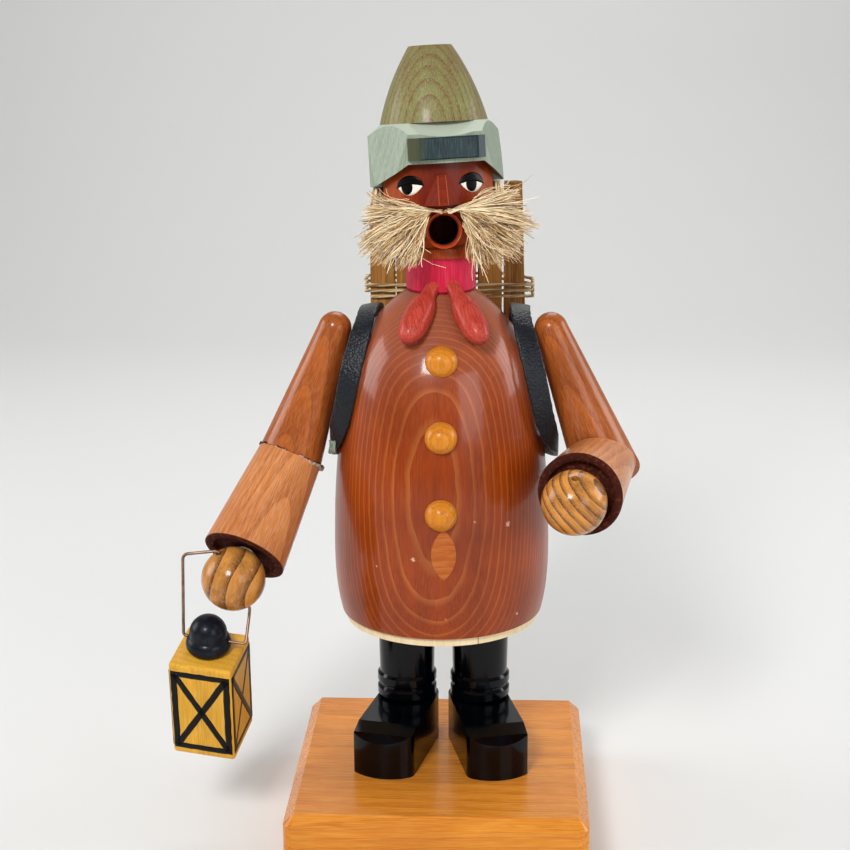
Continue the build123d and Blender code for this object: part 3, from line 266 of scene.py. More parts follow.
def split(vector):
    """A vector's parts, as the node's outputs X, Y and Z."""
    return add_node(vector.id_data, "ShaderNodeSeparateXYZ", {0: vector}).outputs


def stretched(place, share):
    """Coordinates that run slower along the grain."""
    inputs = {"Vector": place, "Scale": (1, 1, share)}
    return add_node(place.id_data, "ShaderNodeMapping", inputs).outputs[0]


def span_mask(value, low, high, soft):
    """1 where a value lies between two limits, with soft ends."""
    rise = remap(value, low - soft, low + soft)
    return maths("MULTIPLY", rise, remap(value, high - soft, high + soft, 1.0, 0.0))


def axis_coordinates(material, origin=(0, 0, 0), along=(0, 0, 1)):
    """Object coordinates turned so that Z runs along a direction from an origin in mm."""
    tree = material.node_tree
    turn = Vector(along).normalized().rotation_difference(UPWARD)
    shift = -(turn @ (Vector(origin) * MM))
    source = add_node(tree, "ShaderNodeTexCoord").outputs["Object"]
    inputs = {"Vector": source, "Location": shift, "Rotation": turn.to_euler()}
    return add_node(tree, "ShaderNodeMapping", inputs).outputs["Vector"]


def emboss(shader, height, depth_mm, strength, invert=False):
    """Give a shader a relief."""
    tree = shader.id_data
    inputs = {"Height": height, "Distance": depth_mm * MM, "Strength": strength}
    relief = add_node(tree, "ShaderNodeBump", inputs, invert=invert)
    tree.links.new(relief.outputs[0], shader.inputs["Normal"])


def overlay(material, mask, hex_colour):
    """Lay a colour over a material's colour, where a mask is 1."""
    tree = material.node_tree
    socket = tree.nodes["Principled BSDF"].inputs["Base Color"]
    mix = add_node(tree, "ShaderNodeMix", {0: mask, 7: linear(hex_colour)}, data_type="RGBA")
    if socket.links:
        tree.links.new(socket.links[0].from_socket, mix.inputs[6])
    else:
        mix.inputs[6].default_value = socket.default_value
    tree.links.new(mix.outputs[2], socket)


# Materials
RING_SPACING = 0.3142  # Distance between rings of a wave texture at scale 1


def start_material(name, hex_colour, roughness, **sockets):
    """A material with its shader's own sockets set."""
    material = bpy.data.materials.new(name)
    material.use_nodes = True
    shader = material.node_tree.nodes["Principled BSDF"]
    shader.inputs["Base Color"].default_value = linear(hex_colour)
    shader.inputs["Roughness"].default_value = roughness
    for key, value in sockets.items():
        shader.inputs[key.replace("_", " ")].default_value = value
    return material, shader


def wood(
    name, light, dark, streak, along=(0, 0, 1), pith=(0, 120, 0), ring_mm=2.6, ring_share=0.5,
    ring=None, ring_start=0.25, warp=3.0, fibre_mm=0.45, streak_share=0.5, blotch_share=0.35,
    speck_share=0.25, roughness=0.4, coat=0.2, bump_mm=0.05,
):
    """Solid wood: growth rings round a pith, fine fibres along it, and uneven stain."""
    material, shader = start_material(
        name, light, roughness, Coat_Weight=coat, Coat_Roughness=0.12, Specular_IOR_Level=0.15
    )
    tree = material.node_tree
    place = axis_coordinates(material, pith, along)
    waves = {
        "Vector": place, "Scale": RING_SPACING / (ring_mm * MM), "Distortion": warp,
        "Detail": 3.0, "Detail Scale": 0.35,
    }
    rings = add_node(
        tree, "ShaderNodeTexWave", waves,
        wave_type="RINGS", rings_direction="Z", wave_profile="SAW",
    )
    fibres = noise(stretched(place, 0.035), fibre_mm, 4.0, 0.6)
    band_place = stretched(place, 0.08)
    bands = noise(band_place, 5.5, 2.0)
    blotches = noise(place, 32, 3.0)
    specks = noise(band_place, 1.1, 1.0)
    for mask, share, hex_colour in (
        (remap(rings.outputs["Fac"], ring_start, 0.95), ring_share, ring or dark),
        (remap(bands, 0.4, 0.7), ring_share * 0.7, dark),
        (remap(fibres, 0.42, 0.68), streak_share, streak),
        (remap(blotches, 0.4, 0.75), blotch_share, dark),
        (remap(specks, 0.66, 0.74), speck_share, dark),
    ):
        overlay(material, maths("MULTIPLY", mask, share), hex_colour)
    gloss = remap(fibres, 0.0, 1.0, roughness - 0.06, roughness + 0.12)
    tree.links.new(gloss, shader.inputs["Roughness"])
    emboss(shader, fibres, bump_mm, 0.6)
    return material


def painted(name, hex_colour, worn, roughness, coat=0.0, wear_mm=6.0, wear_share=0.3):
    """Brushed paint on wood: even colour, thin in places, faint brush lines."""
    material, shader = start_material(
        name, hex_colour, roughness, Coat_Weight=coat, Coat_Roughness=0.08, Specular_IOR_Level=0.12
    )
    place = axis_coordinates(material)
    thin = noise(place, wear_mm, 5.0)
    overlay(material, remap(thin, 0.5, 0.75, end=wear_share), worn)
    brush_lines = noise(place, 0.8, 2.0)
    emboss(shader, brush_lines, 0.03, 0.5)
    return material


def dry_straw(name, light, mid, dark):
    """Dried plant fibre: each straw has its own tone and darkens in patches."""
    material, _ = start_material(name, mid, 0.6, Sheen_Weight=0.15)
    island = add_node(material.node_tree, "ShaderNodeNewGeometry")
    own_tone = island.outputs["Random Per Island"]
    overlay(material, remap(own_tone, 0.4, 0.85), light)
    overlay(material, remap(own_tone, 0.42, 0.06), dark)
    patches = noise(axis_coordinates(material), 5, 2.0)
    overlay(material, remap(patches, 0.5, 0.8, end=0.55), dark)
    return material


def leather(name, base, cell_sheen):
    """Pebble-grained split leather: small raised cells, their tops painted lighter as a soft
    sheen.
    """
    material, shader = start_material(
        name, base, 0.42, Sheen_Weight=0.05, Specular_IOR_Level=0.3
    )
    place = axis_coordinates(material)
    cell_mm = 0.95
    inputs = {"Vector": place, "Scale": 1 / (cell_mm * MM)}
    rim = add_node(material.node_tree, "ShaderNodeTexVoronoi", inputs).outputs["Distance"]
    creases = noise(place, 2.4, 4.0)
    emboss(shader, maths("SUBTRACT", rim, creases), 0.22, 0.9, invert=True)
    # Painted sheen: the middle of each cell is painted a lighter blue-grey
    overlay(material, remap(rim, 0.0, 0.45, 0.6, 0.0), cell_sheen)
    return material


def metal(name, hex_colour, tarnish, roughness, tarnish_share):
    """Drawn or pressed metal with a dull film in patches."""
    material, _ = start_material(name, hex_colour, roughness, Metallic=1.0)
    film = noise(axis_coordinates(material), 3, 4.0)
    overlay(material, remap(film, 0.4, 0.7, end=tarnish_share), tarnish)
    return material


# Settings that a user would change
class SmokerSettings(bpy.types.PropertyGroup):
    straw_count: IntProperty(
        name="Straws in a tuft", description="Straws in each half of the moustache",
        default=1150, min=50,
    )
    hair_count: IntProperty(
        name="Straws in the hair", description="Straws in each side of the hair",
        default=330, min=50,
    )
    straw_width: FloatProperty(
        name="Straw width", description="Thickness of one straw", default=0.34 * MM, unit="LENGTH"
    )
    strap_width: FloatProperty(
        name="Strap width", description="Width of a strap", default=8.6 * MM, unit="LENGTH"
    )
    strap_thickness: FloatProperty(
        name="Strap thickness", description="Thickness of the leather",
        default=1.3 * MM, unit="LENGTH",
    )
    bar_width: FloatProperty(
        name="Lantern bar width", description="Width of a bar painted on the lantern's front",
        default=2.6 * MM, unit="LENGTH",
    )
    floor_colour: FloatVectorProperty(
        name="Floor colour", description="Colour of the floor and backdrop",
        subtype="COLOR", size=4, default=linear("#dadad8"),
    )


# Stage: the camera was solved from the photograph, in millimetres and degrees
CAMERA_PLACE = Vector((24.767, -686.361, 348.449))
CAMERA_PITCH, CAMERA_TURN, CAMERA_ROLL = 15.064, 2.611, -0.336
CAMERA_LENS = 74.77
SENSOR_WIDTH = 36.0
# Floor and wall in metres, joined by a quarter bend
FLOOR_FRONT = -2.5
BEND_START = 0.9
BEND_RADIUS = 0.6
WALL_TOP = 3.0
BACKDROP_HALF_WIDTH = 3.0
ROOM_LIGHT = 0.22
CARD_GRAIN = 1000 / 60  # In millimetres
# Each lamp's place and target in metres, its size in metres and its energy in watts
FIGURE_MIDDLE = (0, 0, 0.16)
LAMPS = (
    ("key_lamp", (-0.3, -1.0, 0.9), FIGURE_MIDDLE, 0.3, 11.5),
    ("fill_lamp", (0.6, -0.8, 0.4), FIGURE_MIDDLE, 0.5, 3.0),
    ("left_lamp", (-0.95, 0.1, 0.45), FIGURE_MIDDLE, 0.5, 4.2),
    ("right_lamp", (0.95, 0.2, 0.45), FIGURE_MIDDLE, 0.5, 4.2),
    ("back_lamp", (0.1, 0.7, 0.9), FIGURE_MIDDLE, 0.5, 2.2),
    ("wall_lamp", (0.0, 0.75, 1.3), (0, 1.5, 0.3), 0.8, 6.0),
)


def camera_matrix():
    """The camera's frame: level along +Y, then turned, pitched down and rolled."""
    turn = rotation(CAMERA_TURN, "Z") @ rotation(90.0 - CAMERA_PITCH, "X")
    return Matrix.Translation(CAMERA_PLACE * MM) @ turn @ rotation(CAMERA_ROLL, "Z")


class SMOKER_OT_stage(bpy.types.Operator):
    """Set the floor, the lamps and the camera at the photograph's viewing angle"""

    bl_idname = "smoker.stage"
    bl_label = "Stage"

    def execute(self, context):
        scene = context.scene
        scene.view_settings.view_transform = "Standard"
        camera_data = bpy.data.cameras.new("camera")
        camera_data.sensor_fit = "HORIZONTAL"
        camera_data.sensor_width = SENSOR_WIDTH
        camera_data.lens = CAMERA_LENS
        camera_data.clip_start = 0.01
        camera = bpy.data.objects.new("camera", camera_data)
        camera.matrix_world = camera_matrix()
        scene.collection.objects.link(camera)
        scene.camera = camera

        card, shader = start_material("matt_white_card", "#dadad8", 0.9)
        shader.inputs["Base Color"].default_value = scene.smoker.floor_colour
        emboss(shader, noise(axis_coordinates(card), CARD_GRAIN, 5.0), 0.2, 0.3)
        profile = [(FLOOR_FRONT, 0.0), (BEND_START, 0.0)]
        for degrees in range(10, 91, 10):
            angle = math.radians(degrees)
            ahead = BEND_START + BEND_RADIUS * math.sin(angle)
            profile.append((ahead, BEND_RADIUS - BEND_RADIUS * math.cos(angle)))
        profile.append((BEND_START + BEND_RADIUS, WALL_TOP))
        ends = (-BACKDROP_HALF_WIDTH, BACKDROP_HALF_WIDTH)
        verts = [(x, y, z) for y, z in profile for x in ends]
        faces = [(i, i + 1, i + 3, i + 2) for i in range(0, 2 * len(profile) - 2, 2)]
        backdrop = make_object("backdrop", verts, faces, card)

        world = bpy.data.worlds.new("soft_room")
        world.use_nodes = True
        room = world.node_tree.nodes["Background"].inputs
        room["Color"].default_value = linear("#f4f6fa")
        room["Strength"].default_value = ROOM_LIGHT
        scene.world = world
        for name, place, target, size, energy in LAMPS:
            lamp_data = bpy.data.lights.new(name, "AREA")
            lamp_data.size = size
            lamp_data.energy = energy
            lamp = bpy.data.objects.new(name, lamp_data)
            lamp.location = place
            aim = Vector(target) - Vector(place)
            lamp.rotation_euler = aim.to_track_quat("-Z", "Y").to_euler()
            scene.collection.objects.link(lamp)
        return {"FINISHED"}


class SMOKER_OT_stand(bpy.types.Operator):
    """Finish the plinth, boots, legs, seat disc, dish and cone"""

    bl_idname = "smoker.stand"
    bl_label = "Stand"

    def execute(self, context):
        # Pine under clear lacquer: straight grain along the board, warm honey colour
        pine = wood(
            "lacquered_pine", "#da8628", "#aa5816", "#e9a844", along=(1, 0, 0.02),
            pith=(0, 40, -150), ring_mm=3.4, ring_share=0.45, warp=1.4, fibre_mm=0.5,
            roughness=0.24, coat=0.25,
        )
        dress(["plinth"], pine)
        # Black gloss lacquer over turned beech: deep, with clear reflections
        lacquer = painted("gloss_black_lacquer", "#010204", "#04101c", 0.16, coat=0.2, wear_mm=9.0)
        dress(["boot_left", "boot_right", "leg_left", "leg_right"], lacquer)
        # Bare limewood: pale and matt, with one drying crack
        lime = wood(
            "bare_limewood", "#e3cfa6", "#c0a377", "#efe0bf", pith=(0, 90, 0), ring_share=0.25,
            roughness=0.6, coat=0.0, blotch_share=0.2, speck_share=0.1,
        )
        across = split(axis_coordinates(lime))["X"]
        overlay(lime, span_mask(across, 15.5 * MM, 15.75 * MM, 0.06 * MM), "#5d442b")
        dress(["seat_disc", "neck_tube", "hat_dowel"], lime)
        dress([n for n in nodes if "_dowel_" in n] + ["knob_peg"], lime)
        dress(["incense_dish"], metal("pressed_brass", "#c79a4b", "#5b4224", 0.35, 0.5))
        dress(["dish_tack", "strap_tacks"], metal("drawn_steel", "#b9bbbd", "#6b6660", 0.35, 0.4))
        paste, shader = start_material("pressed_incense_paste", "#4f3d2e", 0.95)
        grit = noise(axis_coordinates(paste), 0.6, 3.0)
        overlay(paste, remap(grit, 0.5, 0.8), "#7a6248")
        emboss(shader, grit, 0.15, 0.8)
        dress(["incense_cone"], paste)
        return {"FINISHED"}


# Pale chips where the coat's stain was knocked off: across, forward, height and size in mm
CHIPS = (
    (27.3, 34.0, 133.0, 1.2), (20.0, 38.8, 141.0, 0.8), (14.5, 41.2, 136.0, 0.7),
    (-9.6, 42.5, 121.0, 0.9), (-39.0, 17.0, 157.0, 0.8), (-38.2, 19.5, 152.0, 0.6),
    (3.2, 43.3, 96.5, 0.7), (31.0, 29.5, 94.0, 0.9), (-24.0, 36.3, 116.0, 0.6),
)
CHIP_SHIFT = 1.2  # How far the noise shifts a place along each axis on average, in mm


class SMOKER_OT_coat(bpy.types.Operator):
    """Finish the coat, the plug over its knot and the buttons"""

    bl_idname = "smoker.coat"
    bl_label = "Coat"

    def execute(self, context):
        # Stained alder, satin lacquer: flat-sawn arches follow the silhouette
        stained = wood(
            "stained_alder", "#8e3302", "#561801", "#a8510f", along=(0.01, 0.08, 1),
            pith=(5, 150, 60), ring_mm=1.5, ring_share=0.45, ring="#c4773a", ring_start=0.7,
            warp=1.1, streak_share=0.4, blotch_share=0.5, roughness=0.34, coat=0.4,
        )
        dress(["coat"], stained)
        # Painted sheen: faces turned up are painted a paler pink-brown, standing in for light on
        # the lacquer
        source = add_node(stained.node_tree, "ShaderNodeTexCoord").outputs
        painted_light_facing_up = split(source["Normal"])["Z"]
        overlay(stained, remap(painted_light_facing_up, 0.1, 0.9, end=0.3), "#b5836f")
        ragged = noise(source["Object"], 0.7, 3.0, output="Color")
        spread = (2 * CHIP_SHIFT * MM,) * 3
        uneven = vector_maths("MULTIPLY_ADD", ragged, spread, source["Object"])[0]
        for across, forward, height, size in CHIPS:
            middle = Vector((across + CHIP_SHIFT, CHIP_SHIFT - forward, height + CHIP_SHIFT)) * MM
            away = vector_maths("DISTANCE", uneven, middle)["Value"]
            chip = remap(away, size * MM, 0.7 * size * MM, end=0.75)
            overlay(stained, chip, "#d9b497")
        plug = wood(
            "stained_alder_plug", "#b9601d", "#8a3c0c", "#cf8446", along=(1, 0, 0.05),
            pith=(0, -20, 160), ring_mm=2.4,
        )
        dress(["knot_patch"], plug)
        # Glossy beech half balls: orange-yellow stain under thick lacquer
        button = wood(
            "glossy_beech", "#d17f1c", "#9f560e", "#e6a045", pith=(0, 60, 0), ring_mm=1.8,
            ring_share=0.45, roughness=0.28, coat=0.15, bump_mm=0.02,
        )
        dress(["button_top", "button_middle", "button_bottom"], button)
        return {"FINISHED"}


class SMOKER_OT_neck(bpy.types.Operator):
    """Finish the collar and the scarf ends"""

    bl_idname = "smoker.neck"
    bl_label = "Collar and scarf"

    def execute(self, context):
        # Pink-red stained beech
        collar = wood(
            "pink_stained_beech", "#c8153a", "#940c26", "#e04a68", pith=(0, 70, 0),
            ring_share=0.25, fibre_mm=0.35, speck_share=0.1, roughness=0.42, coat=0.08,
        )
        dress(["collar"], collar)
        # Red varnish on turned beech: darker towards the lower tips
        scarf = wood(
            "red_varnished_beech", "#b93a2b", "#701710", "#d46a5c", along=(0.2, -0.6, -0.6),
            pith=(0, 40, 0), ring_mm=2.0, ring_share=0.35, coat=0.12, bump_mm=0.02,
        )
        height = split(axis_coordinates(scarf))["Z"]
        overlay(scarf, remap(height, 208 * MM, 203.5 * MM, end=0.7), "#6e1712")
        dress(["scarf_end_left", "scarf_end_right"], scarf)
        return {"FINISHED"}


# Face: head, nose, painted eyes and mouth, and black temple strips, in millimetres
EYE_ANGLE = 33.0
EYE_HEIGHT = 27.0
MOUTH_HEIGHT = 10.0
IRIS_HALF_WIDTH = 2.5
IRIS_HALF_HEIGHT = 2.9
PAINT_THICKNESS = 0.25
LINE_RADIUS = 0.17


def eye_lines(side):
    """The painted eye's shapes as (lower line, upper line) pairs, outward is side."""
    shares = [i / 16 for i in range(17)]

    def curve(half, lift_in, lift_out, sag, bow):
        return [
            (
                side * (2 * s - 1) * half,
                lift_in + (lift_out - lift_in) * s + sag * math.sin(math.pi * s) ** bow,
            )
            for s in shares
        ]

    glance = -1.2 if side < 0 else -0.5

    def iris_edge(up):
        return [
            (
                glance - side * IRIS_HALF_WIDTH * math.cos(math.pi * s),
                -0.2 + up * IRIS_HALF_HEIGHT * math.sin(math.pi * s),
            )
            for s in shares
        ]

    lines = {
        "white": (curve(5.3, 0.2, -0.4, -3.3, 0.8), curve(5.3, 0.2, -0.4, 1.5, 0.8)),
        "iris": (iris_edge(-1), iris_edge(1)),
        "lid": (curve(6.0, -0.1, -0.7, 1.2, 0.9), curve(6.0, 0.1, -0.4, 4.3, 0.5)),
    }
    if side < 0:
        return {part: (low[::-1], high[::-1]) for part, (low, high) in lines.items()}
    return lines


class SMOKER_OT_face(bpy.types.Operator):
    """Finish the head and nose, paint the eyes and mouth, and lay black strips at the temples"""

    bl_idname = "smoker.face"
    bl_label = "Face"

    def execute(self, context):
        # Orange-brown stained alder, satin, with painted shade: dark red round the nose
        skin = wood(
            "orange_stained_alder", "#a23f10", "#641c05", "#bd6229", pith=(0, 70, 0), ring_mm=2.2,
            ring_share=0.35, roughness=0.38, coat=0.05,
        )
        face = head_matrix(FACE_YAW)
        place = axis_coordinates(skin)
        # Painted shade round the nose: dark red that fades out away from its middle
        nose_middle = face @ (Vector((0, -22.5, 23.0)) * MM)
        from_nose = vector_maths("DISTANCE", place, nose_middle)["Value"]
        overlay(skin, remap(from_nose, 17 * MM, 7 * MM, end=0.9), "#650d01")
        # Painted shadow of the brim: a dark band across the forehead under it
        painted_brim_shadow_low = (COLLAR_TOP + 29.5) * MM
        painted_brim_shadow_high = (COLLAR_TOP + 35.0) * MM
        painted_brim_shadow = remap(split(place)["Z"], painted_brim_shadow_low, painted_brim_shadow_high, end=0.75)
        overlay(skin, painted_brim_shadow, "#470c03")
        dress(["head"], skin)
        nose = wood(
            "dark_stained_alder_nose", "#7c2106", "#4f0d02", "#93330f", pith=(0, 70, 0),
            ring_mm=2.2, ring_share=0.4, roughness=0.6, coat=0.0,
        )
        dress(["nose"], nose)

        def add_paint(name, verts, faces, material):
            new_piece(name, verts, faces, material, "figure")

        white = painted("brushed_white_enamel", "#efe9da", "#cfc6b0", 0.4, coat=0.1)
        black = painted("brushed_black_enamel", "#030304", "#0e0c0b", 0.34, coat=0.08)
        inks = {"white": (white, 0.10), "iris": (black, 0.18), "lid": (black, 0.24)}
        for side, label in SIDES:
            centre = side * math.radians(EYE_ANGLE) * HEAD_RADIUS
            for part, (low, high) in eye_lines(side).items():
                ink, lift = inks[part]

                def on_eye(across, height, proud):
                    return on_head(centre + across, height + EYE_HEIGHT, lift + proud)

                verts, faces = [], []
                add_sheet(verts, faces, low, high, on_eye, 0.0, -0.3)
                add_paint(f"eye_{part}_{label}", verts, faces, ink)

            # Black strips at the temples, where the face meets the straw hair
            def on_temple(across, height, proud):
                return on_head(across, height, 0.08 + proud)

            verts, faces = [], []
            lower = [(side * 30.2 + i * 1.1 - 1.1, 17.6 + 0.5 * i) for i in range(3)]
            upper = [(side * 30.6 + i * 1.1 - 1.1, 28.5) for i in range(3)]
            add_sheet(verts, faces, lower, upper, on_temple, 0.0, -PAINT_THICKNESS)
            add_paint(f"temple_{label}", verts, faces, black)

        # Two painted highlight lines down the edges of the nose's ridge
        pale = painted("painted_highlight_ridge_line", "#a8502f", "#8f3418", 0.4)
        for side, label in SIDES:
            low = face @ (Vector((side * 1.75, -27.22, 19.6)) * MM)
            high = face @ (Vector((side * 1.5, -22.75, 30.6)) * MM)
            path = [low.lerp(high, i / 8) for i in range(9)]
            verts, faces = [], []
            add_tube(verts, faces, path, [LINE_RADIUS * MM] * len(path), 6)
            add_paint(f"nose_highlight_line_{label}", verts, faces, pale)

        # Mouth: a bore lined with painted shade, near black with blue patches, and an orange-red
        # painted lip, as radius and depth
        bore_shade = painted("painted_shade_bore", "#06080f", "#101c3a", 0.7)
        lip = painted("orange_red_enamel", "#a93f1a", "#6f1b0b", 0.35, coat=0.1)
        bore_rings = ((5.74, -8.0), (5.74, -19.9), (5.55, -19.9), (5.55, -8.0))
        lip_rings = ((5.85, -19.95), (7.1, -22.15), (6.8, -22.3), (5.6, -20.2))
        round_from = -19.8  # Rings in front of this depth follow the head's round side
        steps = 48
        for name, rings, material in (
            ("mouth_bore", bore_rings, bore_shade), ("mouth_lip", lip_rings, lip),
        ):
            verts, faces = [], []
            for step in range(steps):
                angle = 2 * math.pi * step / steps
                for radius, depth in rings:
                    x = radius * math.sin(angle)
                    if depth < round_from:
                        depth += HEAD_RADIUS - math.sqrt(HEAD_RADIUS**2 - x * x)
                    local = Vector((x, depth, MOUTH_HEIGHT + radius * math.cos(angle)))
                    verts.append(face @ (local * MM))
            add_bands(faces, 0, steps, len(rings), closed=True)
            add_paint(name, verts, faces, material)
        return {"FINISHED"}


class SMOKER_OT_hat(bpy.types.Operator):
    """Finish the hat's brim, peak stub and crown"""

    bl_idname = "smoker.hat"
    bl_label = "Hat"

    def execute(self, context):
        # Olive-stained spruce crown: reddish arches where the stain didn't take
        crown = wood(
            "olive_stained_spruce", "#797a49", "#6a3d29", "#9c9a6c", along=(0.02, 0.03, 1),
            pith=(-4, -24, 300), ring_mm=2.9, ring_share=0.75, ring_start=0.5, warp=2.2,
            streak_share=0.6, blotch_share=0.25, roughness=0.38, coat=0.12,
        )
        dress(["hat_crown"], crown)
        # Pale grey-green brim with painted light: its upper faces painted lighter as highlight,
        # its under faces painted brown as shade, and dark red in the middle as shade tinted by the
        # face under it
        brim = wood(
            "grey_green_stained_spruce", "#8f9b8a", "#68755f", "#b2baa6", pith=(0, 130, 0),
            ring_mm=2.8, ring_share=0.35, blotch_share=0.3, roughness=0.42, coat=0.08,
        )
        facing = add_node(brim.node_tree, "ShaderNodeTexCoord").outputs["Normal"]
        painted_light_facing_up = split(facing)["Z"]
        painted_shade_under = remap(painted_light_facing_up, -0.15, -0.4, end=0.95)
        overlay(brim, remap(painted_light_facing_up, 0.3, 0.6, end=0.7), "#c3ccb9")
        overlay(brim, painted_shade_under, "#6f5a2a")
        # Painted shade: the middle of the under faces is painted dark red
        across = split(axis_coordinates(brim))["X"]
        middle = span_mask(across, -11 * MM, 16 * MM, 4 * MM)
        overlay(brim, maths("MULTIPLY", middle, painted_shade_under), "#541d0e")
        dress(["hat_brim"], brim)
        # Peak stub: dark teal stain; its left sawn end is painted a lighter olive, partly its
        # rough raw wood and partly painted light where that end faces the lamps
        peak = wood(
            "teal_stained_spruce", "#182d2e", "#0a161c", "#3a5056", pith=(0, 60, 0), ring_mm=1.8,
            ring_share=0.6, streak_share=0.6, roughness=0.45, coat=0.15,
        )
        # Painted light on the left end, over its rough sawn wood
        across = split(axis_coordinates(peak))["X"]
        overlay(peak, remap(across, -3.5 * MM, -8.5 * MM, end=0.9), "#474a33")
        dress(["hat_peak"], peak)
        return {"FINISHED"}


# Straw: moustache and hair, in millimetres and degrees
LOCK_COUNT = 30
STRAY_SHARE = 0.09
STRAY_ANGLES = (-74.0, 28.0)
TUFT_TOP_ANGLE = 16.0
TUFT_FAN = 72.0
TUFT_LENGTH = 31.8
TUFT_SHARES = (0.76, 0.86, 0.95, 1.0, 0.99, 0.92, 0.74)
TUFT_HEIGHT = 17.8
TUFT_INSET = 6.2
TUFT_STEPS = 8
CHEEK_YAW = 22.0
HAIR_FROM = 78.0
HAIR_SWEEP = 94.0
HAIR_LENGTH = 14.5
HAIR_STEPS = 6


def share_at(shares, place):
    """A value read between evenly spaced shares."""
    spot = place * (len(shares) - 1)
    index = min(int(spot), len(shares) - 2)
    return shares[index] + (shares[index + 1] - shares[index]) * (spot - index)


def tuft_locks(rng):
    """The locks that a tuft's straws keep together in: place, layer, length, curl."""
    locks = []
    for i in range(LOCK_COUNT):
        place = (i + rng.uniform(0.1, 0.9)) / LOCK_COUNT
        locks.append((place, rng.random(), rng.uniform(0.84, 1.05), rng.gauss(0, 1)))
    return locks


def tuft_straw(side, rng, locks):
    """One straw of the moustache, as a line of points in metres."""
    cheek = head_matrix(FACE_YAW + side * CHEEK_YAW)
    place, layer, length, curl = rng.choice(locks)
    stray = rng.random() < STRAY_SHARE
    place = min(max(place + rng.gauss(0, 0.02), 0), 1)
    layer = 1.0 + 0.2 * rng.random() if stray else min(max(layer + rng.gauss(0, 0.12), 0), 1)
    angle = TUFT_TOP_ANGLE - TUFT_FAN * place + rng.gauss(0, 2.0)
    if stray:
        angle = rng.uniform(*STRAY_ANGLES)
    start = 1.6 + 7.4 * place + rng.uniform(-1.6, 1.2)
    if place < 0.5 and not stray:
        start -= 5.5 * rng.random() ** 2
    end = TUFT_LENGTH * share_at(TUFT_SHARES, place) * length * rng.uniform(0.86, 1.03)
    if stray:
        end = start + (end - start) * rng.uniform(0.35, 1.0)
        curl = 2.2 * curl
    flare = math.tan(math.radians(1.0 + 10.5 * layer + rng.gauss(0, 1.2)))
    depth = HEAD_RADIUS + 0.6 + 6.2 * layer
    droop = 5.0 + 4.0 * curl + rng.uniform(-2.5, 2.5)
    wave = 0.5 * curl + rng.uniform(-0.5, 0.5)
    points = []
    for step in range(TUFT_STEPS + 1):
        t = step / TUFT_STEPS
        reach = start + (end - start) * t
        bent = math.radians(angle - droop * t * t + 5.0 * wave * math.sin(4.6 * t + 0.8 * curl))
        out = depth + flare * (reach - start) + 0.6 * wave * math.sin(6.0 * t)
        across = side * (reach * math.cos(bent) - TUFT_INSET)
        height = TUFT_HEIGHT + reach * math.sin(bent)
        points.append(cheek @ (Vector((across, -out, height)) * MM))
    return points


def hair_straw(side, rng, _locks):
    """One straw of the hair, hanging from under the brim."""
    head = head_matrix(0)
    sweep = rng.random()
    azimuth = math.radians(FACE_YAW + side * (HAIR_FROM + HAIR_SWEEP * sweep))
    layer = rng.random()
    radius = HEAD_RADIUS + 0.5 + 2.2 * layer
    length = HAIR_LENGTH * rng.uniform(0.62, 1.08)
    flare = math.radians(3.0 + 7.0 * layer + rng.gauss(0, 3.0))
    curl = rng.uniform(-1.4, 1.4)
    points = []
    for step in range(HAIR_STEPS + 1):
        t = step / HAIR_STEPS
        out = radius + length * t * math.sin(flare) + 0.35 * curl * math.sin(4.0 * t)
        turn = azimuth + 0.05 * curl * math.sin(3.0 * t)
        down = BRIM_BOTTOM - 0.4 - length * t * math.cos(flare)
        points.append(head @ (Vector((out * math.sin(turn), -out * math.cos(turn), down)) * MM))
    return points


class SMOKER_OT_straw(bpy.types.Operator):
    """Make the moustache and the hair, straw by straw"""

    bl_idname = "smoker.straw"
    bl_label = "Moustache and hair"

    def execute(self, context):
        # Dried grass fibre: matt, each straw its own tone, darker where glue soaked in
        straw = dry_straw("dried_grass_straw", "#fbe9c2", "#d8b076", "#7a5228")
        settings = context.scene.smoker
        rng = random.Random(11)
        for side, label in SIDES:
            for kind, count, maker in (
                ("moustache", settings.straw_count, tuft_straw),
                ("hair", settings.hair_count, hair_straw),
            ):
                locks = tuft_locks(rng)
                verts, faces = [], []
                for _ in range(count):
                    path = maker(side, rng, locks)
                    thick = settings.straw_width / 2 * rng.uniform(0.6, 1.5)
                    last = len(path) - 1
                    radii = [thick * (1.0 - 0.45 * (i / last) ** 2) for i in range(len(path))]
                    add_tube(verts, faces, path, radii, 4, rng.uniform(0, 3))
                new_piece(
                    f"{kind}_straws_{label}", verts, faces, straw, "figure",
                    replaces=(f"{kind}_{label}",),
                )
        return {"FINISHED"}


# Arms: sleeves, the glued left elbow and the ball hands, in millimetres
CUFF_BORE = 13.4
CUFF_RECESS = {"left": 2.4, "right": 3.2}
CUFF_STEPS = 96
# The lining's rings: radius, height over the rim, roughness and whether the ring is sunk
CUFF_RINGS = (
    (16.35, 0.05, 0.0, 0), (16.1, 0.2, 0.1, 0), (15.3, 0.3, 0.22, 0), (14.5, 0.32, 0.22, 0),
    (13.6, 0.22, 0.2, 0), (13.15, -0.3, 0.15, 0), (13.05, 0.3, 0.08, 1), (10.0, 0.3, 0.1, 1),
    (7.0, 0.28, 0.1, 1), (4.0, 0.25, 0.0, 1), (4.0, -0.15, 0.0, 1), (13.6, -0.15, 0.0, 1),
    (13.7, -0.6, 0.0, 0), (16.2, -0.2, 0.0, 0),
)
ELBOW_RADIUS = 12.9
ELBOW_STEPS = 120
GLUE_TAPER = 8


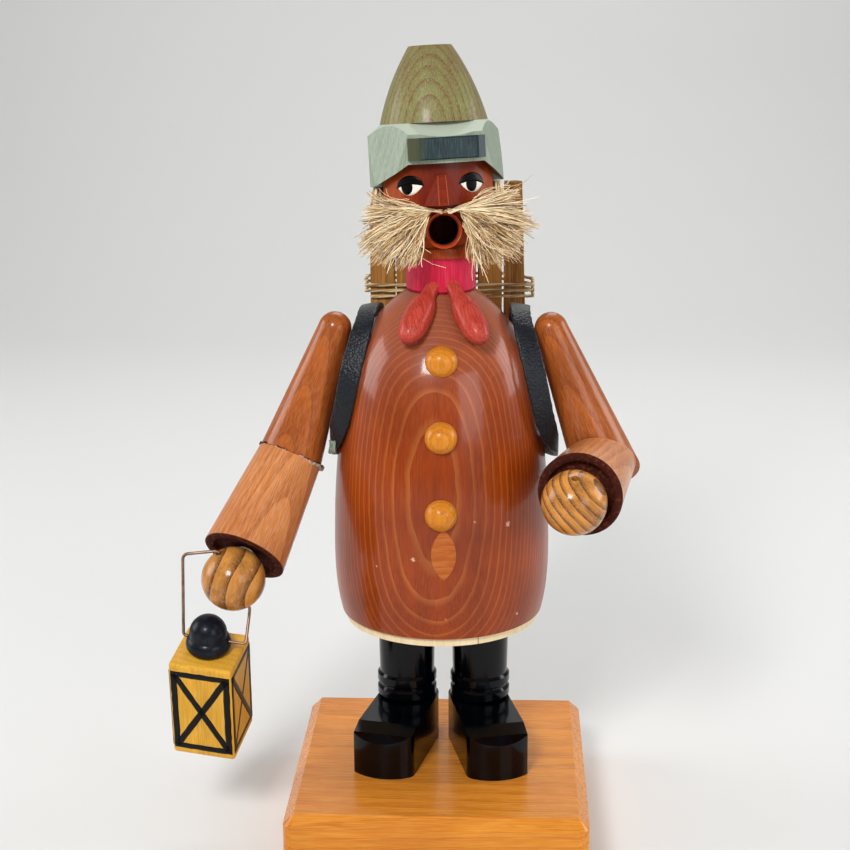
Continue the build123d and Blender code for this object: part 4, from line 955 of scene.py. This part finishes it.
class SMOKER_OT_arms(bpy.types.Operator):
    """Finish the sleeves, the hands and the glue at the left elbow"""

    bl_idname = "smoker.arms"
    bl_label = "Arms"

    def execute(self, context):
        for label, (shoulder, elbow, cuff) in ARMS.items():
            fore_way = (cuff - elbow).normalized()
            # Stained alder sleeves: streaks run down the arm
            upper = wood(
                f"stained_alder_sleeve_{label}", "#aa561f", "#6b2b0c", "#c47e48",
                along=(elbow - shoulder).normalized(), pith=elbow + Vector((20, 60, 0)),
                ring_mm=2.4, warp=1.2, roughness=0.32, coat=0.3,
            )
            dress([f"upper_arm_{label}"], upper)
            fore = wood(
                f"light_alder_sleeve_{label}", "#d08348", "#95491c", "#e6b084", along=fore_way,
                pith=elbow + Vector((-30, 70, 0)), ring_mm=2.2, ring_share=0.55, warp=1.2,
                roughness=0.32, coat=0.3,
            )
            # The hollowed cuff end was left rough and dark; its recess is painted darker still as
            # shade
            place = axis_coordinates(fore, elbow, fore_way)
            down_sleeve = split(place)["Z"]
            length = (cuff - elbow).length * MM
            rim = maths("GREATER_THAN", down_sleeve, length - 0.25 * MM)
            overlay(fore, rim, "#3a1a12")
            # Painted shade in the recess: the bore's deep part is painted darker
            flat = vector_maths("MULTIPLY", place, (1, 1, 0))[0]
            radius = vector_maths("LENGTH", flat)["Value"]
            bore_recess_shade = maths("LESS_THAN", radius, (CUFF_BORE + 0.15) * MM)
            deep = maths("GREATER_THAN", down_sleeve, length - 4 * MM)
            overlay(fore, maths("MULTIPLY", bore_recess_shade, deep), "#2a120c")
            grit = remap(noise(place, 1.5, 3.0), 0.5, 0.72, end=0.6)
            overlay(fore, maths("MULTIPLY", grit, rim), "#7a4630")
            dress([f"forearm_{label}"], fore)

        # The cuff's hollowed end, left rough from the drill and stained dark
        raw = painted("raw_drilled_alder", "#3b160d", "#74371f", 0.85, wear_mm=1.6, wear_share=0.8)
        rng = random.Random(17)
        for label, recess in CUFF_RECESS.items():
            _, elbow, cuff = ARMS[label]
            ahead = (cuff - elbow).normalized()
            across = ahead.cross(BACKWARD).normalized()
            other = ahead.cross(across)
            verts, faces = [], []
            for step in range(CUFF_STEPS):
                angle = 2 * math.pi * step / CUFF_STEPS
                out = across * math.cos(angle) + other * math.sin(angle)
                for radius, height, rough, sunk in CUFF_RINGS:
                    along = height - sunk * recess + rng.uniform(-rough, rough)
                    reach = radius + rng.uniform(-0.3, 0.3) * rough
                    verts.append((cuff + out * reach + ahead * along) * MM)
            add_bands(faces, 0, CUFF_STEPS, len(CUFF_RINGS), closed=True, flip=True)
            new_piece(f"cuff_lining_{label}", verts, faces, raw, "figure")

        # Ball hands: orange beech with broad dark brown stripes of heartwood
        for label, along, pith, ring_mm, ring_start, warp in (
            ("left", (0.3, 0.1, 1), (-36, -5, 0), 7.0, 0.4, 6.5),
            ("right", (0.6, 0.3, -0.7), (40, -8, 24), 3.2, 0.5, 2.4),
        ):
            hand = wood(
                f"striped_beech_{label}", "#d08a3e", "#4a2110", "#e6ad68", along=along,
                pith=HANDS[label] + Vector(pith), ring_mm=ring_mm, ring_share=0.95,
                ring_start=ring_start, warp=warp, streak_share=0.3, blotch_share=0.15,
                roughness=0.22, coat=0.3, bump_mm=0.02,
            )
            dress([f"hand_{label}"], hand)

        # Left elbow: a broken joint glued again, a dark crack and squeezed-out glue
        shoulder, elbow, cuff = ARMS["left"]
        mitre = ((elbow - shoulder).normalized() + (cuff - elbow).normalized()).normalized()
        wide = mitre.cross(BACKWARD).normalized()
        deep = mitre.cross(wide).normalized()
        rng = random.Random(5)
        crack = painted("open_glue_joint", "#2a0f0c", "#4a211a", 0.8)
        glue = painted("dried_hide_glue", "#b9a99b", "#7d5a50", 0.35, coat=0.3)
        for name, material, low, high, thick, proud, shift, spread in (
            ("elbow_crack", crack, 0.0, 360.0, 0.45, 0.2, 0.0, (0.55, 1.2)),
            ("elbow_glue", glue, -10.0, 131.0, 0.62, 0.42, 0.5, (0.3, 1.35)),
        ):
            path, radii = [], []
            for step in range(ELBOW_STEPS + 1):
                angle = math.radians(low + (high - low) * step / ELBOW_STEPS)
                wander = 0.35 * math.sin(9 * angle) + 0.25 * math.sin(23 * angle + 1)
                out = wide * math.cos(angle) + deep * math.sin(angle)
                point = elbow + out * (ELBOW_RADIUS + proud)
                path.append((point + mitre * (wander + shift)) * MM)
                lump = 1.0 + 0.9 * math.exp(-((math.degrees(angle) / 7.0) ** 2))
                radii.append(thick * MM * lump * rng.uniform(*spread))
            if name == "elbow_glue":
                for i in range(len(radii)):
                    share = min(i / GLUE_TAPER, (ELBOW_STEPS - i) / GLUE_TAPER, 0.5)
                    radii[i] = radii[i] * math.sin(math.pi * share) + 1e-5
            verts, faces = [], []
            add_tube(verts, faces, path, radii, 8)
            new_piece(name, verts, faces, material, "figure")
        return {"FINISHED"}


# Leather straps
COAT_RADIUS = 43.7
# Across and forward in coat radii, share of the coat's height, azimuth and elevation outward
STRAP_ROUTE = (
    (0.660, -0.876, 0.858, 180.0, 49.0), (0.660, -0.640, 0.905, 170.0, 66.0),
    (0.660, -0.320, 0.928, 130.0, 76.0), (0.660, -0.023, 0.936, 75.0, 72.0),
    (0.680, 0.183, 0.915, 35.0, 50.0), (0.716, 0.320, 0.872, 18.0, 26.0),
    (0.786, 0.440, 0.785, 16.0, 12.0), (0.840, 0.456, 0.702, 22.0, 5.0),
    (0.889, 0.420, 0.630, 30.0, 2.0), (0.950, 0.330, 0.572, 46.0, 0.0),
    (1.004, 0.090, 0.528, 82.0, 0.0), (0.985, -0.220, 0.494, 103.0, 0.0),
    (0.838, -0.558, 0.477, 124.0, 0.0), (0.783, -0.700, 0.474, 132.0, 0.0),
    (0.700, -0.860, 0.473, 150.0, 0.0),
)
# The strap's section in half widths and half thicknesses, a little domed outside
STRAP_SECTION = (
    (-1, -0.5), (-0.9, -1), (-0.45, -1), (0, -1), (0.45, -1), (0.9, -1), (1, -0.5),
    (1, 0.5), (0.9, 1), (0.45, 1.12), (0, 1.16), (-0.45, 1.12), (-0.9, 1), (-1, 0.5),
)
# Its ends on the sticks: the gap, how far the upper one hangs and how far the lower reaches
STICK_GAP = 0.3
STRAP_TOP_DROP = 8.6
STRAP_TOP_TAIL = 4.0
STRAP_TAIL_REACH = 12.0
STRAP_TAIL_HALF = 4.0
# The torn scrap's middle, outward way, lower edge and upper edge
SCRAP_MIDDLE = Vector((-42.6, -15.4, 158.4))
SCRAP_OUTWARD = Vector((-0.62, -0.78, 0.06)).normalized()
SCRAP_LOWER = ((-1.9, -2.6), (-1.1, -3.0), (-0.3, -2.3), (0.5, -3.1), (1.2, -2.5), (1.9, -2.8))
SCRAP_UPPER = ((-1.6, 2.6), (-1.0, 2.2), (-0.2, 2.8), (0.6, 2.4), (1.1, 2.9), (1.6, 2.3))
SCRAP_HALF_THICKNESS = 0.22


class SMOKER_OT_straps(bpy.types.Operator):
    """Make the leather straps"""

    bl_idname = "smoker.straps"
    bl_label = "Straps"

    def execute(self, context):
        settings = context.scene.smoker
        half_w = settings.strap_width / MM / 2
        half_t = settings.strap_thickness / MM / 2
        # Split leather, black with a blue cast, pebbled with a painted sheen on its cells, its
        # edges rounded and uneven
        hide = leather("pebbled_split_leather", "#070b12", "#1b2738")
        coat_low, coat_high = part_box("coat")
        back_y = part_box("stick_front_1")[0].y / MM - STICK_GAP - half_t
        for side, shift, label in ((-1, 0.0, "left"), (1, 2.5, "right")):
            places, normals = [], []
            for across, forward, height, azimuth, elevation in STRAP_ROUTE:
                x = side * (across * COAT_RADIUS + shift)
                z = coat_low.z / MM + height * (coat_high.z - coat_low.z) / MM
                places.append(Vector((x, -forward * COAT_RADIUS, z)))
                a, e = math.radians(azimuth), math.radians(elevation)
                level = math.cos(e)
                out = (side * math.sin(a) * level, -math.cos(a) * level, math.sin(e))
                normals.append(Vector(out))
            # Both ends lie flat against the sticks
            first, last = places[0], places[-1]
            top = Vector((first.x, back_y, first.z - STRAP_TOP_DROP))
            tail = Vector((last.x - side * STRAP_TAIL_REACH, back_y, last.z))
            half = Vector((side * STRAP_TAIL_HALF, 0, 0))
            places = [top - UPWARD * STRAP_TOP_TAIL, top, *places, tail + half, tail - half]
            normals = [BACKWARD, BACKWARD, *normals, BACKWARD, BACKWARD]
            line = rounded(places, 6)
            faces_out = rounded(normals, 6)
            verts, faces = [], []
            for index, point in enumerate(line):
                travel = travel_at(line, index)
                across = faces_out[index].cross(travel).normalized()
                outward = travel.cross(across).normalized()
                ragged = 0.12 * math.sin(index * 1.7) + 0.08 * math.sin(index * 4.1)
                for u, v in STRAP_SECTION:
                    width = half_w + (ragged if abs(u) > 0.8 else 0.0)
                    verts.append((point + across * u * width + outward * v * half_t) * MM)
            add_bands(faces, 0, len(line), len(STRAP_SECTION))
            piece = new_piece(
                f"leather_strap_{label}", verts, faces, hide, "figure",
                replaces=(f"strap_{label}",),
            )
            bevel = piece.modifiers.new("rounded_edges", "SUBSURF")
            bevel.levels = 1
            bevel.render_levels = 1

        # A torn scrap of the strap's pale lining sticks out beside the left elbow
        scrap = painted(
            "grey_green_lining", "#868f80", "#3c443c", 0.8, wear_mm=1.2, wear_share=0.7
        )
        sideways = UPWARD.cross(SCRAP_OUTWARD).normalized()

        def on_scrap(across, height, proud):
            curl = 0.35 * math.sin(1.3 * across + 0.9 * height)
            flat = SCRAP_MIDDLE + sideways * across + Vector((0, 0, height))
            return (flat + SCRAP_OUTWARD * (proud + curl)) * MM

        verts, faces = [], []
        thick = SCRAP_HALF_THICKNESS
        add_sheet(verts, faces, SCRAP_LOWER, SCRAP_UPPER, on_scrap, thick, -thick)
        new_piece("lining_scrap", verts, faces, scrap, "figure")
        return {"FINISHED"}


# Firewood and the twine round it, in metres
TWINE_TURNS = 3
TWINE_RISE = 2.4 * MM
TWINE_HALF = 0.75 * MM
TWINE_STAND = 1.05 * MM
STRAND_COUNT = 3
STRAND_OFFSET = 0.36 * MM
STRAND_RADIUS = 0.4 * MM
STRAND_TWIST = 0.55
# Where points lie between two corners of the route
LEG_SHARES = (0.03, 0.15, 0.3, 0.45, 0.6, 0.75, 0.88, 0.97)


def twine_route(low, high):
    """The twine's centre line: turns round the bundle that rise from one to the next."""
    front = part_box("stick_front_1")[0].y - TWINE_STAND
    rear_low, rear_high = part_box("stick_rear_1")
    rear_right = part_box("stick_rear_4")[1].x + TWINE_STAND
    left = low.x + TWINE_HALF
    right = high.x - TWINE_HALF
    loop = (
        (left, front),
        (right, front),
        (right, rear_low.y + TWINE_STAND),
        (rear_right, rear_high.y + TWINE_STAND),
        (rear_low.x - TWINE_STAND, rear_high.y + TWINE_STAND),
        (left, rear_low.y + TWINE_STAND),
    )
    bottom = low.z + TWINE_HALF
    corners = [
        Vector((x, y, bottom + (turn + i / len(loop)) * TWINE_RISE))
        for turn in range(TWINE_TURNS)
        for i, (x, y) in enumerate(loop)
    ]
    corners.append(Vector((*loop[0], bottom + TWINE_TURNS * TWINE_RISE)))
    route = []
    for a, b in zip(corners, corners[1:]):
        route += [a.lerp(b, share) for share in LEG_SHARES]
    return rounded(route, 4)


class SMOKER_OT_firewood(bpy.types.Operator):
    """Finish the sticks and wind the twine round them"""

    bl_idname = "smoker.firewood"
    bl_label = "Firewood"

    def execute(self, context):
        # Cleft spruce, unfinished: coarse fibres, each third of the sticks in its own tone
        sticks = sorted(n for n in nodes if n.startswith("stick_"))
        for index, (light, dark) in enumerate(
            (("#ae7632", "#6d4318"), ("#b97c34", "#7d4c1c"), ("#9a632a", "#5b3613"))
        ):
            cleft = wood(
                f"cleft_spruce_{index + 1}", light, dark, "#d0a66a", pith=(20 * index, 90, 0),
                ring_mm=1.7, ring_share=0.6, warp=1.5, fibre_mm=0.6, roughness=0.75, coat=0.0,
                bump_mm=0.25,
            )
            dress(sticks[index::3], cleft)

        # Raffia twine: three dry strands laid together, matt and pale
        twine = dry_straw("laid_raffia_twine", "#dcc594", "#bb9c66", "#86683c")
        rng = random.Random(3)
        for label in ("lower", "upper"):
            route = twine_route(*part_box(f"twine_{label}"))
            verts, faces = [], []
            for strand in range(STRAND_COUNT):
                path = []
                for index, point in enumerate(route):
                    travel = travel_at(route, index)
                    out = travel.cross(UPWARD).normalized()
                    up = out.cross(travel)
                    angle = index * STRAND_TWIST + strand * 2 * math.pi / STRAND_COUNT
                    way = out * math.cos(angle) + up * math.sin(angle)
                    path.append(point + way * STRAND_OFFSET)
                radii = [STRAND_RADIUS * rng.uniform(0.85, 1.12) for _ in path]
                add_tube(verts, faces, path, radii, 5)
            new_piece(
                f"wound_twine_{label}", verts, faces, twine, "figure",
                replaces=(f"twine_{label}",),
            )
        return {"FINISHED"}


# Lantern, in millimetres
LANTERN_TOP = Vector((-89.97, -43.82, 83.72))
LANTERN_HALF = 12.75
LANTERN_MARGIN = 0.8
BAR_TOP = -4.4
BAR_BOTTOM = -39.8
BAR_STEPS = 14
BAR_LIFT = 0.1
SIDE_BAR = 2.0
SIDE_CROSS = 1.7
SIDE_FALLING_CROSS = 2.72


def lantern_matrix():
    """The lantern's frame: its origin is the middle of the block's top."""
    turn = rotation(-9.76, "Z") @ rotation(14.47, "X") @ rotation(4.45, "Y")
    return Matrix.Translation(LANTERN_TOP * MM) @ turn


def add_bar(verts, faces, rng, turn, start, end, thick):
    """Add a hand-painted bar on the block's face at a turn."""
    face = lantern_matrix() @ rotation(turn, "Z")
    first, last = Vector(start), Vector(end)
    travel = (last - first).normalized()
    across = Vector((-travel.y, travel.x))
    lower, upper = [], []
    for step in range(BAR_STEPS + 1):
        point = first.lerp(last, step / BAR_STEPS)
        edge = thick / 2 * rng.uniform(0.9, 1.08)
        other = thick / 2 * rng.uniform(0.9, 1.08)
        lower.append(tuple(point - across * edge))
        upper.append(tuple(point + across * other))

    def on_face(u, v, proud):
        return face @ (Vector((u, -(LANTERN_HALF + BAR_LIFT + proud), v)) * MM)

    add_sheet(verts, faces, lower, upper, on_face, 0.0, -PAINT_THICKNESS)


class SMOKER_OT_lantern(bpy.types.Operator):
    """Finish the lantern, its knob and wire, and paint its bars"""

    bl_idname = "smoker.lantern"
    bl_label = "Lantern"

    def execute(self, context):
        # Yellow ochre stained limewood block, satin
        block = wood(
            "ochre_stained_limewood", "#dca02c", "#a8741a", "#ecc05a", along=(0.03, -0.26, 0.96),
            pith=(-60, 80, 40), ring_mm=3.0, ring_share=0.35, roughness=0.42, coat=0.08,
        )
        dress(["lantern_body"], block)
        knob = painted(
            "satin_charcoal_paint", "#0b1019", "#2c2e2e", 0.4, coat=0.1, wear_mm=3.0,
            wear_share=0.6,
        )
        dress(["lantern_knob"], knob)
        dress(["lantern_bail"], metal("annealed_iron_wire", "#9a7d6c", "#5b4234", 0.42, 0.6))

        black = painted(
            "brushed_black_bar_paint", "#080706", "#1d1914", 0.38, coat=0.1, wear_mm=2.0
        )
        width = context.scene.smoker.bar_width / MM
        rng = random.Random(8)
        verts, faces = [], []
        for turn, thick, rising, falling in (
            (0, width, width, width),
            (180, width, width, width),
            (90, SIDE_BAR, SIDE_CROSS, SIDE_FALLING_CROSS),
            (-90, SIDE_BAR, SIDE_CROSS, SIDE_FALLING_CROSS),
        ):
            inset = LANTERN_HALF - LANTERN_MARGIN - thick / 2
            wide = inset + thick / 2
            for start, end, size in (
                ((-inset, BAR_BOTTOM), (-inset, BAR_TOP), thick),
                ((inset, BAR_BOTTOM), (inset, BAR_TOP), thick),
                ((-wide, BAR_TOP), (wide, BAR_TOP), thick),
                ((-wide, BAR_BOTTOM), (wide, BAR_BOTTOM), thick),
                ((-inset, BAR_BOTTOM), (inset, BAR_TOP), rising),
                ((-inset, BAR_TOP), (inset, BAR_BOTTOM), falling),
            ):
                add_bar(verts, faces, rng, turn, start, end, size)
        new_piece("lantern_bars", verts, faces, black, "lantern")
        return {"FINISHED"}


# Sidebar panel
OPERATORS = (
    SMOKER_OT_stage,
    SMOKER_OT_stand,
    SMOKER_OT_coat,
    SMOKER_OT_neck,
    SMOKER_OT_face,
    SMOKER_OT_hat,
    SMOKER_OT_straw,
    SMOKER_OT_arms,
    SMOKER_OT_straps,
    SMOKER_OT_firewood,
    SMOKER_OT_lantern,
)


class SMOKER_PT_panel(bpy.types.Panel):
    """Lists the smoker's settings and the steps that make it"""

    bl_label = "Incense smoker"
    bl_idname = "SMOKER_PT_panel"
    bl_space_type = "VIEW_3D"
    bl_region_type = "UI"
    bl_category = "Smoker"

    def draw(self, context):
        for name in SmokerSettings.__annotations__:
            self.layout.prop(context.scene.smoker, name)
        for operator in OPERATORS:
            self.layout.operator(operator.bl_idname)


def register():
    """Register the classes and hang the settings on the scene."""
    for cls in (SmokerSettings, *OPERATORS, SMOKER_PT_panel):
        bpy.utils.register_class(cls)
    bpy.types.Scene.smoker = PointerProperty(type=SmokerSettings)


def unregister():
    """Undo register()."""
    del bpy.types.Scene.smoker
    for cls in reversed((SmokerSettings, *OPERATORS, SMOKER_PT_panel)):
        bpy.utils.unregister_class(cls)


def main():
    """Make everything."""
    register()
    bpy.ops.smoker.stage()
    bpy.ops.smoker.stand()
    bpy.ops.smoker.coat()
    bpy.ops.smoker.neck()
    bpy.ops.smoker.face()
    bpy.ops.smoker.hat()
    bpy.ops.smoker.straw()
    bpy.ops.smoker.arms()
    bpy.ops.smoker.straps()
    bpy.ops.smoker.firewood()
    bpy.ops.smoker.lantern()


if __name__ == "__main__":
    main()
